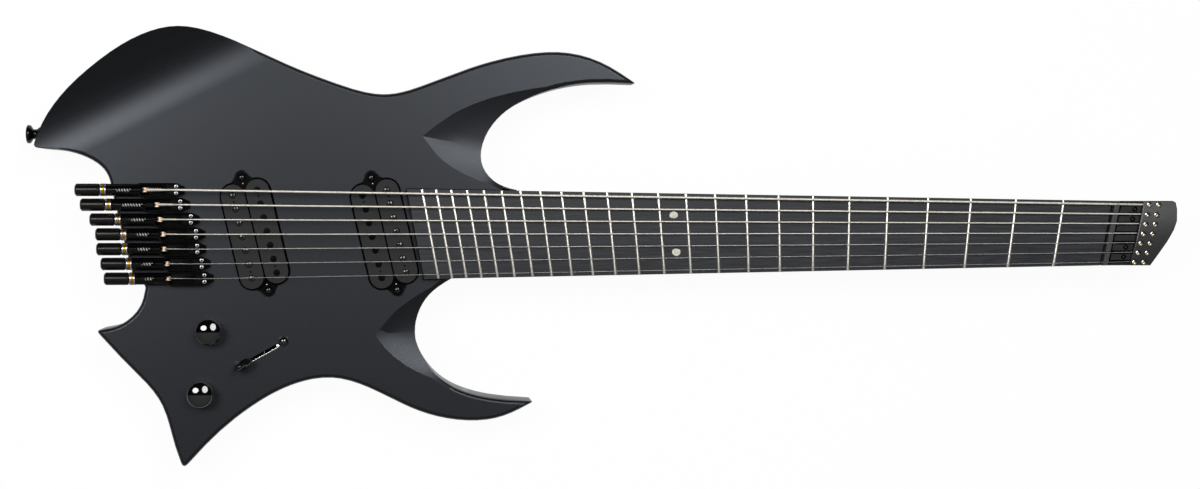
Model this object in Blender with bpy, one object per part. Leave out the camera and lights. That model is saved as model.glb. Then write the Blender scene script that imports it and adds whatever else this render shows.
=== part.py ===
"""A seven-string headless electric guitar with fanned frets, lying on its back.

X runs along the neck towards the head, Y towards the bass side and Z out of the face.
The origin is on the flat back, on the centre line, under the middle saddle.
"""

import math

import bmesh
import bpy
import numpy as np
from mathutils import Matrix, Vector

MM = 0.001

# Strings and scale. The bass string is number 7, the treble string number 1.
STRINGS = 7
SCALE_MIDDLE = 660.4 * MM
SCALE_FAN = 25.4 * MM
STRAIGHT_FRET = 7
FRETS = 24
NUT_SPREAD = 42.6 * MM
BRIDGE_SPREAD = 62.0 * MM
GAUGE_TREBLE = 0.254 * MM
GAUGE_BASS = 1.5 * MM

# Clearances
SEAT_GAP = 0.3 * MM
CAVITY_GAP = 1.0 * MM

# How far a cutter runs past what it opens, how high it stands over the face, and how far
# shapes that are joined run into each other
CUT_OVERRUN = 5.0 * MM
CUT_TOP = 20.0 * MM
JOIN_OVERLAP = 1.0 * MM
ROUND_LIMIT = 0.01 * MM

# Body, with its length and width over the drawn outline
BODY_LENGTH = 425.0 * MM
BODY_WIDTH = 313.5 * MM
BODY_THICK = 42.0 * MM
EDGE_ROUND = 3.0 * MM
CURVE_TOLERANCE = 0.12 * MM
MOST_TIP_POINTS = 14
MERGE_DISTANCE = 0.1 * MM
ARM_RADIUS = 95.0 * MM
ARM_ANGLE = math.radians(27.0)
ARM_REACH = 75.0 * MM
ARM_STEPS = 8
BACK_CARVE_ANGLE = math.radians(8.5)
BELLY_RADIUS = 120.0 * MM
BELLY_LENGTH = 260.0 * MM
BELLY_ANGLE = math.radians(10.8)
BELLY_DEPTH = 12.0 * MM

# Neck and fretboard
BOARD_SIDE = 2.4 * MM
BOARD_THICK = 5.7 * MM
BOARD_OVERHANG = 10.5 * MM
BOARD_RADIUS = 508.0 * MM
BOARD_HEIGHT = 8.0 * MM
FRET_HEIGHT = 1.1 * MM
FRET_WIDTH = 2.6 * MM
FRET_TOP_WIDTH = 1.2 * MM
FRET_BEVEL = 1.0 * MM
HEEL_DEPTH = 18.0 * MM
NECK_DEPTH_BODY = 16.0 * MM
NECK_DEPTH_NUT = 13.5 * MM
NECK_SHOULDER = 2.0 * MM
HEAD_WOOD_DEPTH = 12.0 * MM
HEEL_SQUARENESS = 9.0
NECK_SQUARENESS = 2.4
NECK_STATIONS = (0.55, 0.75)
HEEL_END = 0.29
HEEL_BLEND_END = 0.39
POCKET_REACH = 0.45
ROD_HEEL_MARGIN = 50.0 * MM
ROD_HEAD_MARGIN = 8.0 * MM
ROD_WIDTH = 5.4 * MM
ROD_DEPTH = 8.6 * MM

# Nut and head
NUT_THICK = 4.1 * MM
NUT_STRING_HEIGHT = 1.5 * MM
NUT_SLOT_DEPTH = 0.6 * MM
HEAD_LENGTH = 51.4 * MM
HEAD_CURVE = ((-7.4, -5.8), (-2.8, 2.3), (-0.4, 8.9), (0.0, 17.7))
HEAD_SLANT = 19.5 * MM
HEAD_CORNER = (0.7 * MM, 1.2 * MM, 3.0 * MM)
DECK_THICK = 4.4 * MM
CLAMP_HEIGHT = 5.6 * MM
CLAMP_SETBACK = 17.5 * MM
CLAMP_TUNNEL = 2.5 * MM
DECK_SLOT_START = 4.0 * MM
STRING_SLOT = 2.6 * MM
DECK_SLOT_DEPTH = 1.6 * MM
STRING_TAIL = 12.0 * MM
STRING_LEVEL_OFF = 3.0 * MM

# Bridge and tuner units, measured from each unit's front end and the body's face
UNIT_FRONTS = {7: -6.6, 6: -3.0, 5: 3.5, 4: 7.4, 3: 8.0, 2: 10.9, 1: 13.1}
SADDLE_SHIFTS = {7: -5.1, 6: -5.9, 5: -5.1, 4: -5.5, 3: -5.3, 2: -5.2, 1: -5.5}
BALL_PLACES = {7: -26.9, 6: -22.4, 5: -26.8, 4: -28.6, 3: -28.6, 2: -29.5, 1: -31.0}
UNIT_GAP = 0.5 * MM
BASE_LENGTH = 31.0 * MM
BASE_WALL_HEIGHT = 8.2 * MM
BASE_FLOOR = 1.8 * MM
NOSE_LENGTH = 6.0 * MM
NOSE_WIDTH = 5.0 * MM
NOSE_DROP = 0.8 * MM
CHANNEL_WALL = 1.0 * MM
ROD_HEIGHT = 5.2 * MM
TUBE_RADIUS = 4.3 * MM
TUBE_LENGTH = 22.2 * MM
BLOCK_BORE_LENGTH = 16.5 * MM
THREAD_SLOT = 2.4 * MM
BEARING_RADIUS = 4.4 * MM
BEARING_LENGTH = 4.3 * MM
BEARING_GROOVE = 0.5 * MM
TUBE_OVERLAP = 2.0 * MM
TUNER_RADIUS = 4.5 * MM
TUNER_LENGTH = 17.0 * MM
TUNER_BORE_DEPTH = 15.5 * MM
TUNER_CHAMFER = 0.6 * MM
THREAD_RADIUS = 1.3 * MM
THREAD_GAP = 0.4 * MM
CARRIAGE_RADIUS = 2.9 * MM
CARRIAGE_LENGTH = 8.1 * MM
CARRIAGE_NOSE = 2.0 * MM
CARRIAGE_ROD = 40.4 * MM
ROD_TIP = 1.0 * MM
BALL_RADIUS = 1.9 * MM
BALL_LENGTH = 3.0 * MM
SADDLE_REAR = 6.4 * MM
SADDLE_FRONT = 1.6 * MM
SADDLE_TOP = 11.4 * MM
SADDLE_SHOULDER = 8.6 * MM
SADDLE_RIDGE = 1.8 * MM
SADDLE_ARCH = ((-2.0, -1.2), (-0.7, -0.2), (0.0, 0.0), (0.5, -0.2))
HEIGHT_SCREW_RADIUS = 1.25 * MM
HEIGHT_SCREW_SPACING = 4.6 * MM
HEIGHT_SCREW_RISE = 1.2 * MM

# Pickups
PICKUP_SLANT = math.radians(13.0)
PICKUP_LENGTH = 76.0 * MM
COIL_WIDTH = 17.3 * MM
PICKUP_CORNER = 9.0 * MM
LUG_SPACING = 81.8 * MM
LUG_RADIUS = 4.3 * MM
LUG_THICK = 2.0 * MM
LUG_SPREAD = 9.9 * MM
LUG_OVERLAP = 3.0 * MM
PICKUP_DEPTH = 17.0 * MM
PICKUP_PROUD = 4.0 * MM
BOBBIN_THICK = 5.7 * MM
BRIDGE_PICKUP_X = 42.0 * MM
NECK_PICKUP_SETBACK = 21.8 * MM

# Controls
KNOB_RADIUS = 9.0 * MM
KNOB_HEIGHT = 15.0 * MM
KNOB_RISE = 0.8 * MM
KNOB_PROFILE = ((0, 0.94), (0.06, 1), (0.77, 1), (0.84, 0.97), (0.89, 0.87), (0.96, 0.55),
                (1, 0.15))
SHAFT_RISE = 10.5 * MM
SHAFT_RADIUS = 3.0 * MM
BUSHING_RADIUS = 3.9 * MM
POT_RADIUS = 8.5 * MM
POT_HEIGHT = 9.5 * MM
POT_FLOOR = 2.0 * MM
CAVITY_TOP_WALL = 6.0 * MM
COVER_THICK = 2.0 * MM
COVER_LEDGE = 5.0 * MM
SWITCH_ANGLE = math.radians(28.5)
SWITCH_TILT = math.radians(24.5)
SWITCH_PIVOT_DEPTH = 20.5 * MM
LEVER_WIDTH = 4.0 * MM
LEVER_THICK = 1.3 * MM
LEVER_RISE = 14.6 * MM
LEVER_EYE = 3.2 * MM
LEVER_GAP = 0.45 * MM
TIP_LENGTH = 8.0 * MM
TIP_WIDTH = 7.0 * MM
TIP_THICK = 5.4 * MM
TIP_PROFILE = ((-5.6, 0.75), (-1.6, 1.0), (4.4, 1.0), (6.4, 0.7))
SWITCH_FRAME_LENGTH = 44.0 * MM
SWITCH_FRAME_WIDTH = 9.0 * MM
SWITCH_WALL_LENGTH = 26.4 * MM
SWITCH_WALL_FOOT = 5.0 * MM
FRAME_THICK = 1.5 * MM
PIVOT_RADIUS = 1.5 * MM

# Output jack and strap buttons
JACK_HEIGHT = 20.0 * MM
JACK_RADIUS = 6.0 * MM
JACK_BORE = 3.6 * MM
JACK_LENGTH = 36.0 * MM
JACK_BORE_DEPTH = 32.0 * MM
JACK_FLANGE_RADIUS = 8.0 * MM
JACK_FLANGE_THICK = 2.0 * MM
JACK_SEAT_REACH = 30.0 * MM
JACK_END_ROOM = 2.0 * MM
BUTTON_RADIUS = 6.7 * MM
BUTTON_HEIGHT = 10.2 * MM
BUTTON_PROFILE = ((0, 5.0), (0.14, 5.0), (0.3, 3.6), (0.55, 3.6), (0.72, 6.4), (0.85, 6.7),
                  (0.95, 6.4), (1, 5.4))
REAR_BUTTON_Z = 17.0 * MM

# Outline of the body as smooth stretches between corners, drawn in millimetres and scaled
# to the body's length and width. Each corner is softened over the length given with the
# stretch that it starts.
BODY_EDGES = (
    (4.0, ((-111.5, 60.5), (-106.6, 75.0), (-93.8, 97.0), (-70.0, 121.3), (-44.5, 139.0),
           (-14.4, 147.5), (15.6, 141.4), (61.0, 121.6), (101.7, 105.8), (135.0, 99.3),
           (161.8, 106.2), (197.1, 119.4), (232.7, 128.3), (262.6, 129.8), (286.4, 123.7),
           (313.5, 107.6))),
    (3.0, ((313.5, 107.6), (274.2, 107.5), (244.6, 100.8), (217.2, 85.8), (203.5, 66.3),
           (202.3, 49.6), (212.3, 36.6), (228.5, 31.0))),
    (1.0, ((228.5, 31.0), (181.0, -31.6))),
    (1.0, ((181.0, -31.6), (165.1, -42.8), (155.8, -59.4), (154.7, -74.4), (160.8, -90.2),
           (175.0, -105.4), (198.6, -115.6), (239.5, -120.3))),
    (3.0, ((239.5, -120.3), (214.4, -131.6), (187.8, -133.5), (156.5, -126.2),
           (125.2, -111.2), (97.0, -102.4), (68.8, -106.6), (36.8, -123.7),
           (15.5, -140.8), (-8.6, -166.0))),
    (5.0, ((-8.6, -166.0), (-14.5, -149.0), (-24.1, -118.8), (-45.1, -93.6),
           (-69.0, -67.4))),
    (4.0, ((-69.0, -67.4), (-53.6, -64.3), (-37.7, -49.9), (-34.2, -36.5))),
    (2.0, ((-34.2, -36.5), (-42.6, -31.0))),
    (2.0, ((-42.6, -31.0), (-51.0, 3.0), (-56.8, 29.0))),
    (2.0, ((-56.8, 29.0), (-61.0, 43.3), (-77.0, 55.0), (-111.5, 60.5))),
)

# Cutaway scoops: rim on the face, foot on the body's edge, and the drop between them,
# drawn like the outline.
UPPER_SCOOP = (
    ((262.0, 106.4), (262.3, 105.6), 0.5),
    ((240.0, 104.0), (244.0, 100.6), 2.6),
    ((208.6, 97.0), (218.0, 86.6), 6.5),
    ((182.0, 85.8), (207.0, 73.0), 8.5),
    ((156.4, 69.8), (201.8, 62.0), 9.0),
    ((168.0, 57.4), (201.6, 53.0), 7.2),
    ((182.9, 46.2), (203.8, 46.6), 4.8),
    ((200.0, 38.0), (208.8, 39.8), 2.2),
    ((218.6, 32.4), (219.4, 33.3), 0.5),
)
LOWER_SCOOP = (
    ((176.0, -33.6), (176.4, -34.4), 0.5),
    ((158.6, -42.0), (163.0, -44.8), 3.6),
    ((142.0, -53.6), (157.2, -54.6), 6.5),
    ((130.3, -63.0), (155.0, -64.5), 8.5),
    ((122.6, -69.7), (154.5, -70.0), 9.0),
    ((131.0, -80.0), (156.4, -80.4), 7.4),
    ((147.9, -93.8), (162.6, -92.8), 5.2),
    ((164.0, -102.0), (171.0, -102.2), 2.4),
    ((181.0, -109.6), (181.4, -108.8), 0.5),
)
SCOOP_OVERRUN = 6.0 * MM
SCOOP_STEPS = 2
SCOOP_PROFILE = ((0, 0), (0.33, 0.44), (0.67, 0.78), (1, 1))

CONTROL_CAVITY = (
    (-14.0, -58.0), (70.0, -58.0), (78.0, -72.0), (62.0, -98.0), (34.0, -108.0),
    (14.0, -126.0), (-6.0, -126.0), (-14.0, -104.0),
)

drawn_points = np.array([point for _, points in BODY_EDGES for point in points])
BODY_SCALE = np.array((BODY_LENGTH, BODY_WIDTH)) / np.ptp(drawn_points, axis=0)


def on_body(x, y):
    """A place on the body's plan from its drawn place in millimetres."""
    return (x * BODY_SCALE[0], y * BODY_SCALE[1])


ARM_RIDGE = on_body(-71.8, 58.9)
BELLY_CENTRE = on_body(20.0, 158.0)
BACK_CARVE_START = on_body(168.0, 0.0)
VOLUME_PLACE = on_body(10.0, -68.5)
TONE_PLACE = on_body(4.2, -112.5)
SWITCH_PLACE = on_body(46.2, -84.9)
JACK_PLACE = on_body(-24.0, -112.0)
REAR_BUTTON = on_body(-108.6, 70.6)
HORN_BUTTON = on_body(262.0, 117.0)

BODY_TOP = BODY_THICK
STRAIGHT_FRACTION = 2 ** (-STRAIGHT_FRET / 12)
STRAIGHT_X = SCALE_MIDDLE * STRAIGHT_FRACTION
HEAD_END = SCALE_MIDDLE + HEAD_LENGTH
STRING_PITCH = BRIDGE_SPREAD / (STRINGS - 1)
BOARD_EDGE = 0.5 + BOARD_SIDE / NUT_SPREAD
BOARD_END = 2 ** (-FRETS / 12) - BOARD_OVERHANG / SCALE_MIDDLE
BOARD_TOP = BODY_TOP + BOARD_HEIGHT
BOARD_BASE = BOARD_TOP - BOARD_THICK
NECK_TOP = BOARD_BASE - SEAT_GAP
DECK_TOP = NECK_TOP + SEAT_GAP + DECK_THICK
CLAMP_BASE = DECK_TOP + SEAT_GAP
CLAMP_TOP = CLAMP_BASE + CLAMP_HEIGHT
CAVITY_ROOF = BODY_TOP - CAVITY_TOP_WALL
PICKUP_WIDTH = 2 * COIL_WIDTH + SEAT_GAP
SWITCH_PIVOT_Z = BODY_TOP - SWITCH_PIVOT_DEPTH


def clear_scene():
    for old in list(bpy.data.objects):
        bpy.data.objects.remove(old)


def finish(name, colour, roughness, metallic=0.0):
    made = bpy.data.materials.new(name)
    made.use_nodes = True
    shader = made.node_tree.nodes["Principled BSDF"]
    shader.inputs["Base Color"].default_value = (*colour, 1.0)
    shader.inputs["Roughness"].default_value = roughness
    shader.inputs["Metallic"].default_value = metallic
    return made


def place(name, bm, material, location=(0, 0, 0), parent=None):
    """The object made from a bmesh, shaded smooth with sharp edges kept."""
    bmesh.ops.recalc_face_normals(bm, faces=bm.faces)
    if bm.calc_volume(signed=True) < 0:
        bmesh.ops.reverse_faces(bm, faces=bm.faces)
    mesh = bpy.data.meshes.new(name)
    bm.to_mesh(mesh)
    bm.free()
    if material:
        mesh.materials.append(material)
    mesh.shade_smooth()
    mesh.set_sharp_from_angle(angle=math.radians(32))
    return place_mesh(name, mesh, location, parent)


def place_mesh(name, mesh, location=(0, 0, 0), parent=None):
    obj = bpy.data.objects.new(name, mesh)
    bpy.context.scene.collection.objects.link(obj)
    obj.parent = parent
    obj.location = location
    return obj


def helper(name, bm, location=(0, 0, 0), parent=None):
    """A shape that only cuts or joins, hidden from the render."""
    obj = place(name, bm, None, location, parent)
    obj.hide_render = True
    obj.display_type = "WIRE"
    return obj


def combine(target, other, operation):
    modifier = target.modifiers.new(other.name, "BOOLEAN")
    modifier.operation = operation
    modifier.object = other


def applied_mesh(obj):
    """The object's mesh with its modifiers applied, for pieces that share one mesh."""
    bpy.context.view_layer.update()
    graph = bpy.context.evaluated_depsgraph_get()
    mesh = bpy.data.meshes.new_from_object(obj.evaluated_get(graph))
    mesh.name = obj.name
    mesh.shade_smooth()
    mesh.set_sharp_from_angle(angle=math.radians(32))
    obj.hide_render = True
    obj.display_type = "WIRE"
    return mesh


def empty(name, location, angle=0.0):
    obj = bpy.data.objects.new(name, None)
    bpy.context.scene.collection.objects.link(obj)
    obj.location = location
    obj.rotation_euler.z = angle
    bpy.context.view_layer.update()
    return obj


def prism(points, low, high):
    """A closed plan outline raised between two heights."""
    bm = bmesh.new()
    face = bm.faces.new([bm.verts.new((x, y, low)) for x, y in points])
    raised = bmesh.ops.extrude_face_region(bm, geom=[face])["geom"]
    top = [part for part in raised if isinstance(part, bmesh.types.BMVert)]
    bmesh.ops.translate(bm, verts=top, vec=(0, 0, high - low))
    return bm


def box(low, high):
    bm = bmesh.new()
    size = Vector(high) - Vector(low)
    middle = (Vector(high) + Vector(low)) / 2
    at = Matrix.Translation(middle) @ Matrix.Diagonal((*size, 1))
    bmesh.ops.create_cube(bm, size=1, matrix=at)
    return bm


def loft(rings):
    """A closed solid through rings that have the same number of points."""
    bm = bmesh.new()
    rows = [[bm.verts.new(point) for point in ring] for ring in rings]
    count = len(rows[0])
    for near, far in zip(rows, rows[1:]):
        for i in range(count):
            after = (i + 1) % count
            bm.faces.new((near[i], near[after], far[after], far[i]))
    bm.faces.new(rows[0])
    bm.faces.new(reversed(rows[-1]))
    return bm


def turned(profile, sides, turn=None):
    """A round solid from (height, radius) pairs along Z, then turned by a matrix."""
    rings = []
    for height, radius in profile:
        ring = []
        for i in range(sides):
            angle = 2 * math.pi * (i + 0.5) / sides
            ring.append((radius * math.cos(angle), radius * math.sin(angle), height))
        rings.append(ring)
    bm = loft(rings)
    if turn is not None:
        bmesh.ops.transform(bm, matrix=turn, verts=bm.verts)
    return bm


ALONG_X = Matrix.Rotation(math.radians(90), 4, "Y")


def tube(points, radii, sides):
    """A round bar through points, upright across its path."""
    rings = []
    for i, point in enumerate(points):
        before = Vector(points[max(i - 1, 0)])
        after = Vector(points[min(i + 1, len(points) - 1)])
        along = (after - before).normalized()
        side = along.cross(Vector((0, 0, 1))).normalized()
        up = side.cross(along)
        ring = []
        for k in range(sides):
            angle = 2 * math.pi * k / sides
            reach = side * math.cos(angle) + up * math.sin(angle)
            ring.append(Vector(point) + reach * radii[i])
        rings.append(ring)
    return loft(rings)


def through(points, step=1.0 * MM):
    """Points close together on a natural cubic spline through the drawn ones."""
    knots = np.array(points) * BODY_SCALE
    if len(knots) == 2:
        return knots
    spans = np.linalg.norm(np.diff(knots, axis=0), axis=1)
    count = len(knots)
    system = np.eye(count)
    pull = np.zeros((count, 2))
    for i in range(1, count - 1):
        before, after = spans[i - 1], spans[i]
        system[i, i - 1:i + 2] = before, 2 * (before + after), after
        rise = (knots[i + 1] - knots[i]) / after - (knots[i] - knots[i - 1]) / before
        pull[i] = 6 * rise
    bend = np.linalg.solve(system, pull)
    found = []
    for i, span in enumerate(spans):
        for t in np.arange(0, 1, 1 / math.ceil(span / step)):
            left = knots[i] * (1 - t) + bend[i] * ((1 - t) ** 3 - (1 - t)) * span**2 / 6
            right = knots[i + 1] * t + bend[i + 1] * (t**3 - t) * span**2 / 6
            found.append(left + right)
    found.append(knots[-1])
    return np.array(found)


def trimmed(line, length):
    """The line with a length cut off its start."""
    reach = np.concatenate([[0], np.cumsum(np.linalg.norm(np.diff(line, axis=0), axis=1))])
    keep = reach > length
    start = [np.interp(length, reach, line[:, k]) for k in (0, 1)]
    return np.vstack([start, line[keep]])


def thinned(line, tolerance):
    """Only the points that the line needs to stay within a tolerance."""
    start, end = line[0], line[-1]
    chord = end - start
    length = max(np.linalg.norm(chord), 1e-9)
    away = line - start
    gaps = np.abs(chord[0] * away[:, 1] - chord[1] * away[:, 0]) / length
    far = int(gaps.argmax())
    if gaps[far] < tolerance:
        return np.array([start, end])
    before = thinned(line[:far + 1], tolerance)
    after = thinned(line[far:], tolerance)
    return np.vstack([before[:-1], after])


def body_outline():
    """The body's outline: smooth stretches with each corner softened by a curve."""
    edges = [through(points) for _, points in BODY_EDGES]
    softness = [length * MM for length, _ in BODY_EDGES]
    outline = []
    for i, edge in enumerate(edges):
        following = (i + 1) % len(edges)
        stretch = trimmed(edge, softness[i])
        stretch = trimmed(stretch[::-1], softness[following])[::-1]
        outline.append(thinned(stretch, CURVE_TOLERANCE)[:-1])
        start, corner = stretch[-1], edges[following][0]
        end = trimmed(edges[following], softness[following])[0]
        for t in (0.0, 0.25, 0.5, 0.75):
            bend = (1 - t) ** 2 * start + 2 * t * (1 - t) * corner + t**2 * end
            outline.append(bend[None])
    return np.vstack(outline)


def inward(outline):
    """Unit vectors pointing into the outline, which runs clockwise."""
    ahead = np.roll(outline, -1, axis=0) - outline
    ahead /= np.linalg.norm(ahead, axis=1)[:, None]
    along = ahead + np.roll(ahead, 1, axis=0)
    along /= np.linalg.norm(along, axis=1)[:, None]
    return np.column_stack([along[:, 1], -along[:, 0]])


def crossing(a, b, c, d):
    """Where two stretches of a line cross, or None."""
    first, second, gap = b - a, d - c, c - a
    turn = first[0] * second[1] - first[1] * second[0]
    if turn == 0:
        return None
    along_first = (gap[0] * second[1] - gap[1] * second[0]) / turn
    along_second = (gap[0] * first[1] - gap[1] * first[0]) / turn
    if 0 <= along_first <= 1 and 0 <= along_second <= 1:
        return a + first * along_first
    return None


def inset(outline, distance):
    """The outline moved inwards. At a narrow tip the points gather where its sides meet."""
    moved = outline + inward(outline) * distance
    count = len(moved)
    for i in range(count):
        for reach in range(MOST_TIP_POINTS, 1, -1):
            ends = [moved[k % count] for k in (i, i + 1, i + reach, i + reach + 1)]
            meet = crossing(*ends)
            if meet is not None:
                for k in range(i + 1, i + reach + 1):
                    moved[k % count] = meet
                break
    return moved


def body_slab():
    """The body's slab with both edges rounded."""
    outline = body_outline()
    steps = []
    for angle in (0, 45, 90):
        turn = math.radians(angle)
        steps.append((EDGE_ROUND * (1 - math.cos(turn)), EDGE_ROUND * (1 - math.sin(turn))))
    levels = steps + [(BODY_THICK - rise, depth) for rise, depth in reversed(steps)]
    rings = []
    for height, depth in levels:
        edge = inset(outline, depth) if depth > MERGE_DISTANCE else outline
        rings.append([(x, y, height) for x, y in edge])
    slab = loft(rings)
    bmesh.ops.remove_doubles(slab, verts=slab.verts, dist=MERGE_DISTANCE)
    return slab


def smoothed(rows, steps):
    """Rows of numbers with further rows between them on a smooth curve."""
    table = np.array(rows)
    table = np.vstack([2 * table[0] - table[1], table, 2 * table[-1] - table[-2]])
    found = []
    for before, start, end, after in zip(table, table[1:], table[2:], table[3:]):
        for t in np.arange(steps) / steps:
            found.append(start + (end - before) * t / 2
                         + (2 * before - 5 * start + 4 * end - after) * t**2 / 2
                         + (3 * start - before - 3 * end + after) * t**3 / 2)
    found.append(table[-2])
    return found


def scoop_cutter(name, pairs):
    """The space cut from the face down to a cutaway's edge, run on past that edge.

    Its two sides are smooth and meet in a crease along the deepest row.
    """
    rings = []
    above = BODY_TOP + CUT_OVERRUN
    rows = [(*rim, *foot, drop) for rim, foot, drop in pairs]
    valley = max(range(len(rows)), key=lambda i: rows[i][4])
    before = smoothed(rows[:valley + 1], SCOOP_STEPS)
    after = smoothed(rows[valley:], SCOOP_STEPS)
    for row in before[:-1] + after:
        near, far, drop = Vector(on_body(*row[0:2])), Vector(on_body(*row[2:4])), row[4] * MM
        across = far - near
        slope = drop / max(across.length, JOIN_OVERLAP)
        end = far + across.normalized() * SCOOP_OVERRUN
        low = BODY_TOP - drop - slope * SCOOP_OVERRUN
        ring = [(near.x, near.y, above)]
        for share, depth in SCOOP_PROFILE:
            at = near + across * share
            ring.append((at.x, at.y, BODY_TOP - drop * depth))
        rings.append(ring + [(end.x, end.y, low), (end.x, end.y, above)])
    return helper(name, loft(rings))


def arm_cutter():
    """The forearm contour: a roll-off that leaves the face along a straight ridge."""
    above = BODY_TOP + CUT_OVERRUN
    profile = [(-JOIN_OVERLAP, above), (-JOIN_OVERLAP, BODY_TOP + SEAT_GAP), (0, BODY_TOP)]
    for k in range(1, ARM_STEPS + 1):
        reach = ARM_REACH * k / ARM_STEPS
        drop = ARM_RADIUS - math.sqrt(ARM_RADIUS**2 - reach**2)
        profile.append((reach, BODY_TOP - drop))
    profile.append((ARM_REACH, above))
    along = Vector((math.cos(ARM_ANGLE), math.sin(ARM_ANGLE)))
    outward = Vector((-along.y, along.x))
    rings = []
    for travel in (-BODY_LENGTH / 4, BODY_LENGTH / 2):
        foot = Vector(ARM_RIDGE) + along * travel
        ring = []
        for reach, height in profile:
            at = foot + outward * reach
            ring.append((at.x, at.y, height))
        rings.append(ring)
    return helper("arm_cutter", loft(rings))


def belly_cutter():
    """The hollow in the back for the player's ribs, cut by a large roller."""
    along = Matrix.Rotation(BELLY_ANGLE, 4, "Z")
    at = Vector((*BELLY_CENTRE, BELLY_DEPTH - BELLY_RADIUS))
    half = BELLY_LENGTH / 2
    roller = turned([(-half, BELLY_RADIUS), (half, BELLY_RADIUS)], 64,
                    Matrix.Translation(at) @ along @ ALONG_X)
    return helper("belly_cutter", roller)


def back_cutter():
    """The wedge that thins the heel and both horns from behind."""
    bm = box((0, -BODY_WIDTH, -2 * BODY_THICK), (BODY_LENGTH / 2, BODY_WIDTH, 0))
    bmesh.ops.rotate(bm, verts=bm.verts, matrix=Matrix.Rotation(-BACK_CARVE_ANGLE, 3, "Y"))
    bmesh.ops.translate(bm, verts=bm.verts, vec=(*BACK_CARVE_START, 0))
    return helper("back_cutter", bm)


def scale_at(offset):
    return SCALE_MIDDLE + SCALE_FAN * offset


def fan_point(offset, fraction):
    """Where a line across the strings, at a share of the scale, meets an offset.

    Offset runs from -0.5 at the treble string to 0.5 at the bass string, and
    fraction from 0 at the bridge to 1 at the nut.
    """
    x = STRAIGHT_X + scale_at(offset) * (fraction - STRAIGHT_FRACTION)
    spread = BRIDGE_SPREAD + (NUT_SPREAD - BRIDGE_SPREAD) * fraction
    return Vector((x, offset * spread))


def string_offset(number):
    return (number - (STRINGS + 1) / 2) / (STRINGS - 1)


def string_radius(number):
    share = (number - 1) / (STRINGS - 1)
    return (GAUGE_TREBLE + (GAUGE_BASS - GAUGE_TREBLE) * share**1.35) / 2


def nut_fraction(distance):
    """The fraction at a distance past the nut's front, towards the head."""
    return 1 + distance / SCALE_MIDDLE


def neck_section(fraction, depth, squareness):
    """A ring of the neck: flat on top, then shoulders and a rounded back."""
    ring = []
    for side in (-1, 1):
        at = fan_point(side * BOARD_EDGE, fraction)
        ring.append((at.x, at.y, NECK_TOP))
    for k in range(13):
        turn = math.pi * k / 12
        wide = math.copysign(abs(math.cos(turn)) ** (2 / squareness), math.cos(turn))
        deep = abs(math.sin(turn)) ** (2 / squareness)
        at = fan_point(wide * BOARD_EDGE, fraction)
        low = NECK_TOP - NECK_SHOULDER - (depth - NECK_SHOULDER) * deep
        ring.append((at.x, at.y, low))
    return ring


def smooth_share(value, start, end):
    t = min(max((value - start) / (end - start), 0), 1)
    return t * t * (3 - 2 * t)


def neck_rings():
    rings = []
    fractions = [BOARD_END, HEEL_END]
    fractions += [HEEL_END + (HEEL_BLEND_END - HEEL_END) * k / 6 for k in range(1, 7)]
    fractions += [*NECK_STATIONS, nut_fraction(NUT_THICK)]
    for fraction in fractions:
        blend = smooth_share(fraction, HEEL_END, HEEL_BLEND_END)
        slim = smooth_share(fraction, HEEL_BLEND_END, 1)
        shaft = NECK_DEPTH_BODY + (NECK_DEPTH_NUT - NECK_DEPTH_BODY) * slim
        depth = HEEL_DEPTH + (shaft - HEEL_DEPTH) * blend
        squareness = HEEL_SQUARENESS + (NECK_SQUARENESS - HEEL_SQUARENESS) * blend
        rings.append(neck_section(fraction, depth, squareness))
    return rings


def head_outline(setback):
    """The head's plan from a distance past the nut's front to its slanted, rounded end."""
    half = NUT_SPREAD / 2 + BOARD_SIDE
    bass = fan_point(BOARD_EDGE, nut_fraction(setback))
    treble = fan_point(-BOARD_EDGE, nut_fraction(setback))
    back, drop, start = HEAD_CORNER
    curve = [(HEAD_END + x * MM, y * MM) for x, y in HEAD_CURVE]
    return [(treble.x, -half), (HEAD_END - HEAD_SLANT, -half), *curve,
            (HEAD_END - back, half - drop), (HEAD_END - start, half), (bass.x, half)]


def make_neck(wood):
    neck = place("neck", loft(neck_rings()), wood)
    tip = prism(head_outline(0), NECK_TOP - HEAD_WOOD_DEPTH, NECK_TOP)
    combine(neck, helper("head_tip", tip), "UNION")
    low, high = truss_rod_box()
    gap = Vector((SEAT_GAP, SEAT_GAP, SEAT_GAP))
    channel = box(low - gap, high + gap + Vector((0, 0, CUT_OVERRUN)))
    combine(neck, helper("rod_channel", channel), "DIFFERENCE")
    return neck


def truss_rod_box():
    start = fan_point(0, BOARD_END).x + ROD_HEEL_MARGIN
    end = fan_point(0, 1).x - ROD_HEAD_MARGIN
    low = Vector((start, -ROD_WIDTH / 2, NECK_TOP - ROD_DEPTH))
    high = Vector((end, ROD_WIDTH / 2, NECK_TOP - SEAT_GAP))
    return low, high


def board_height(y):
    return BOARD_TOP - y**2 / (2 * BOARD_RADIUS)


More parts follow.
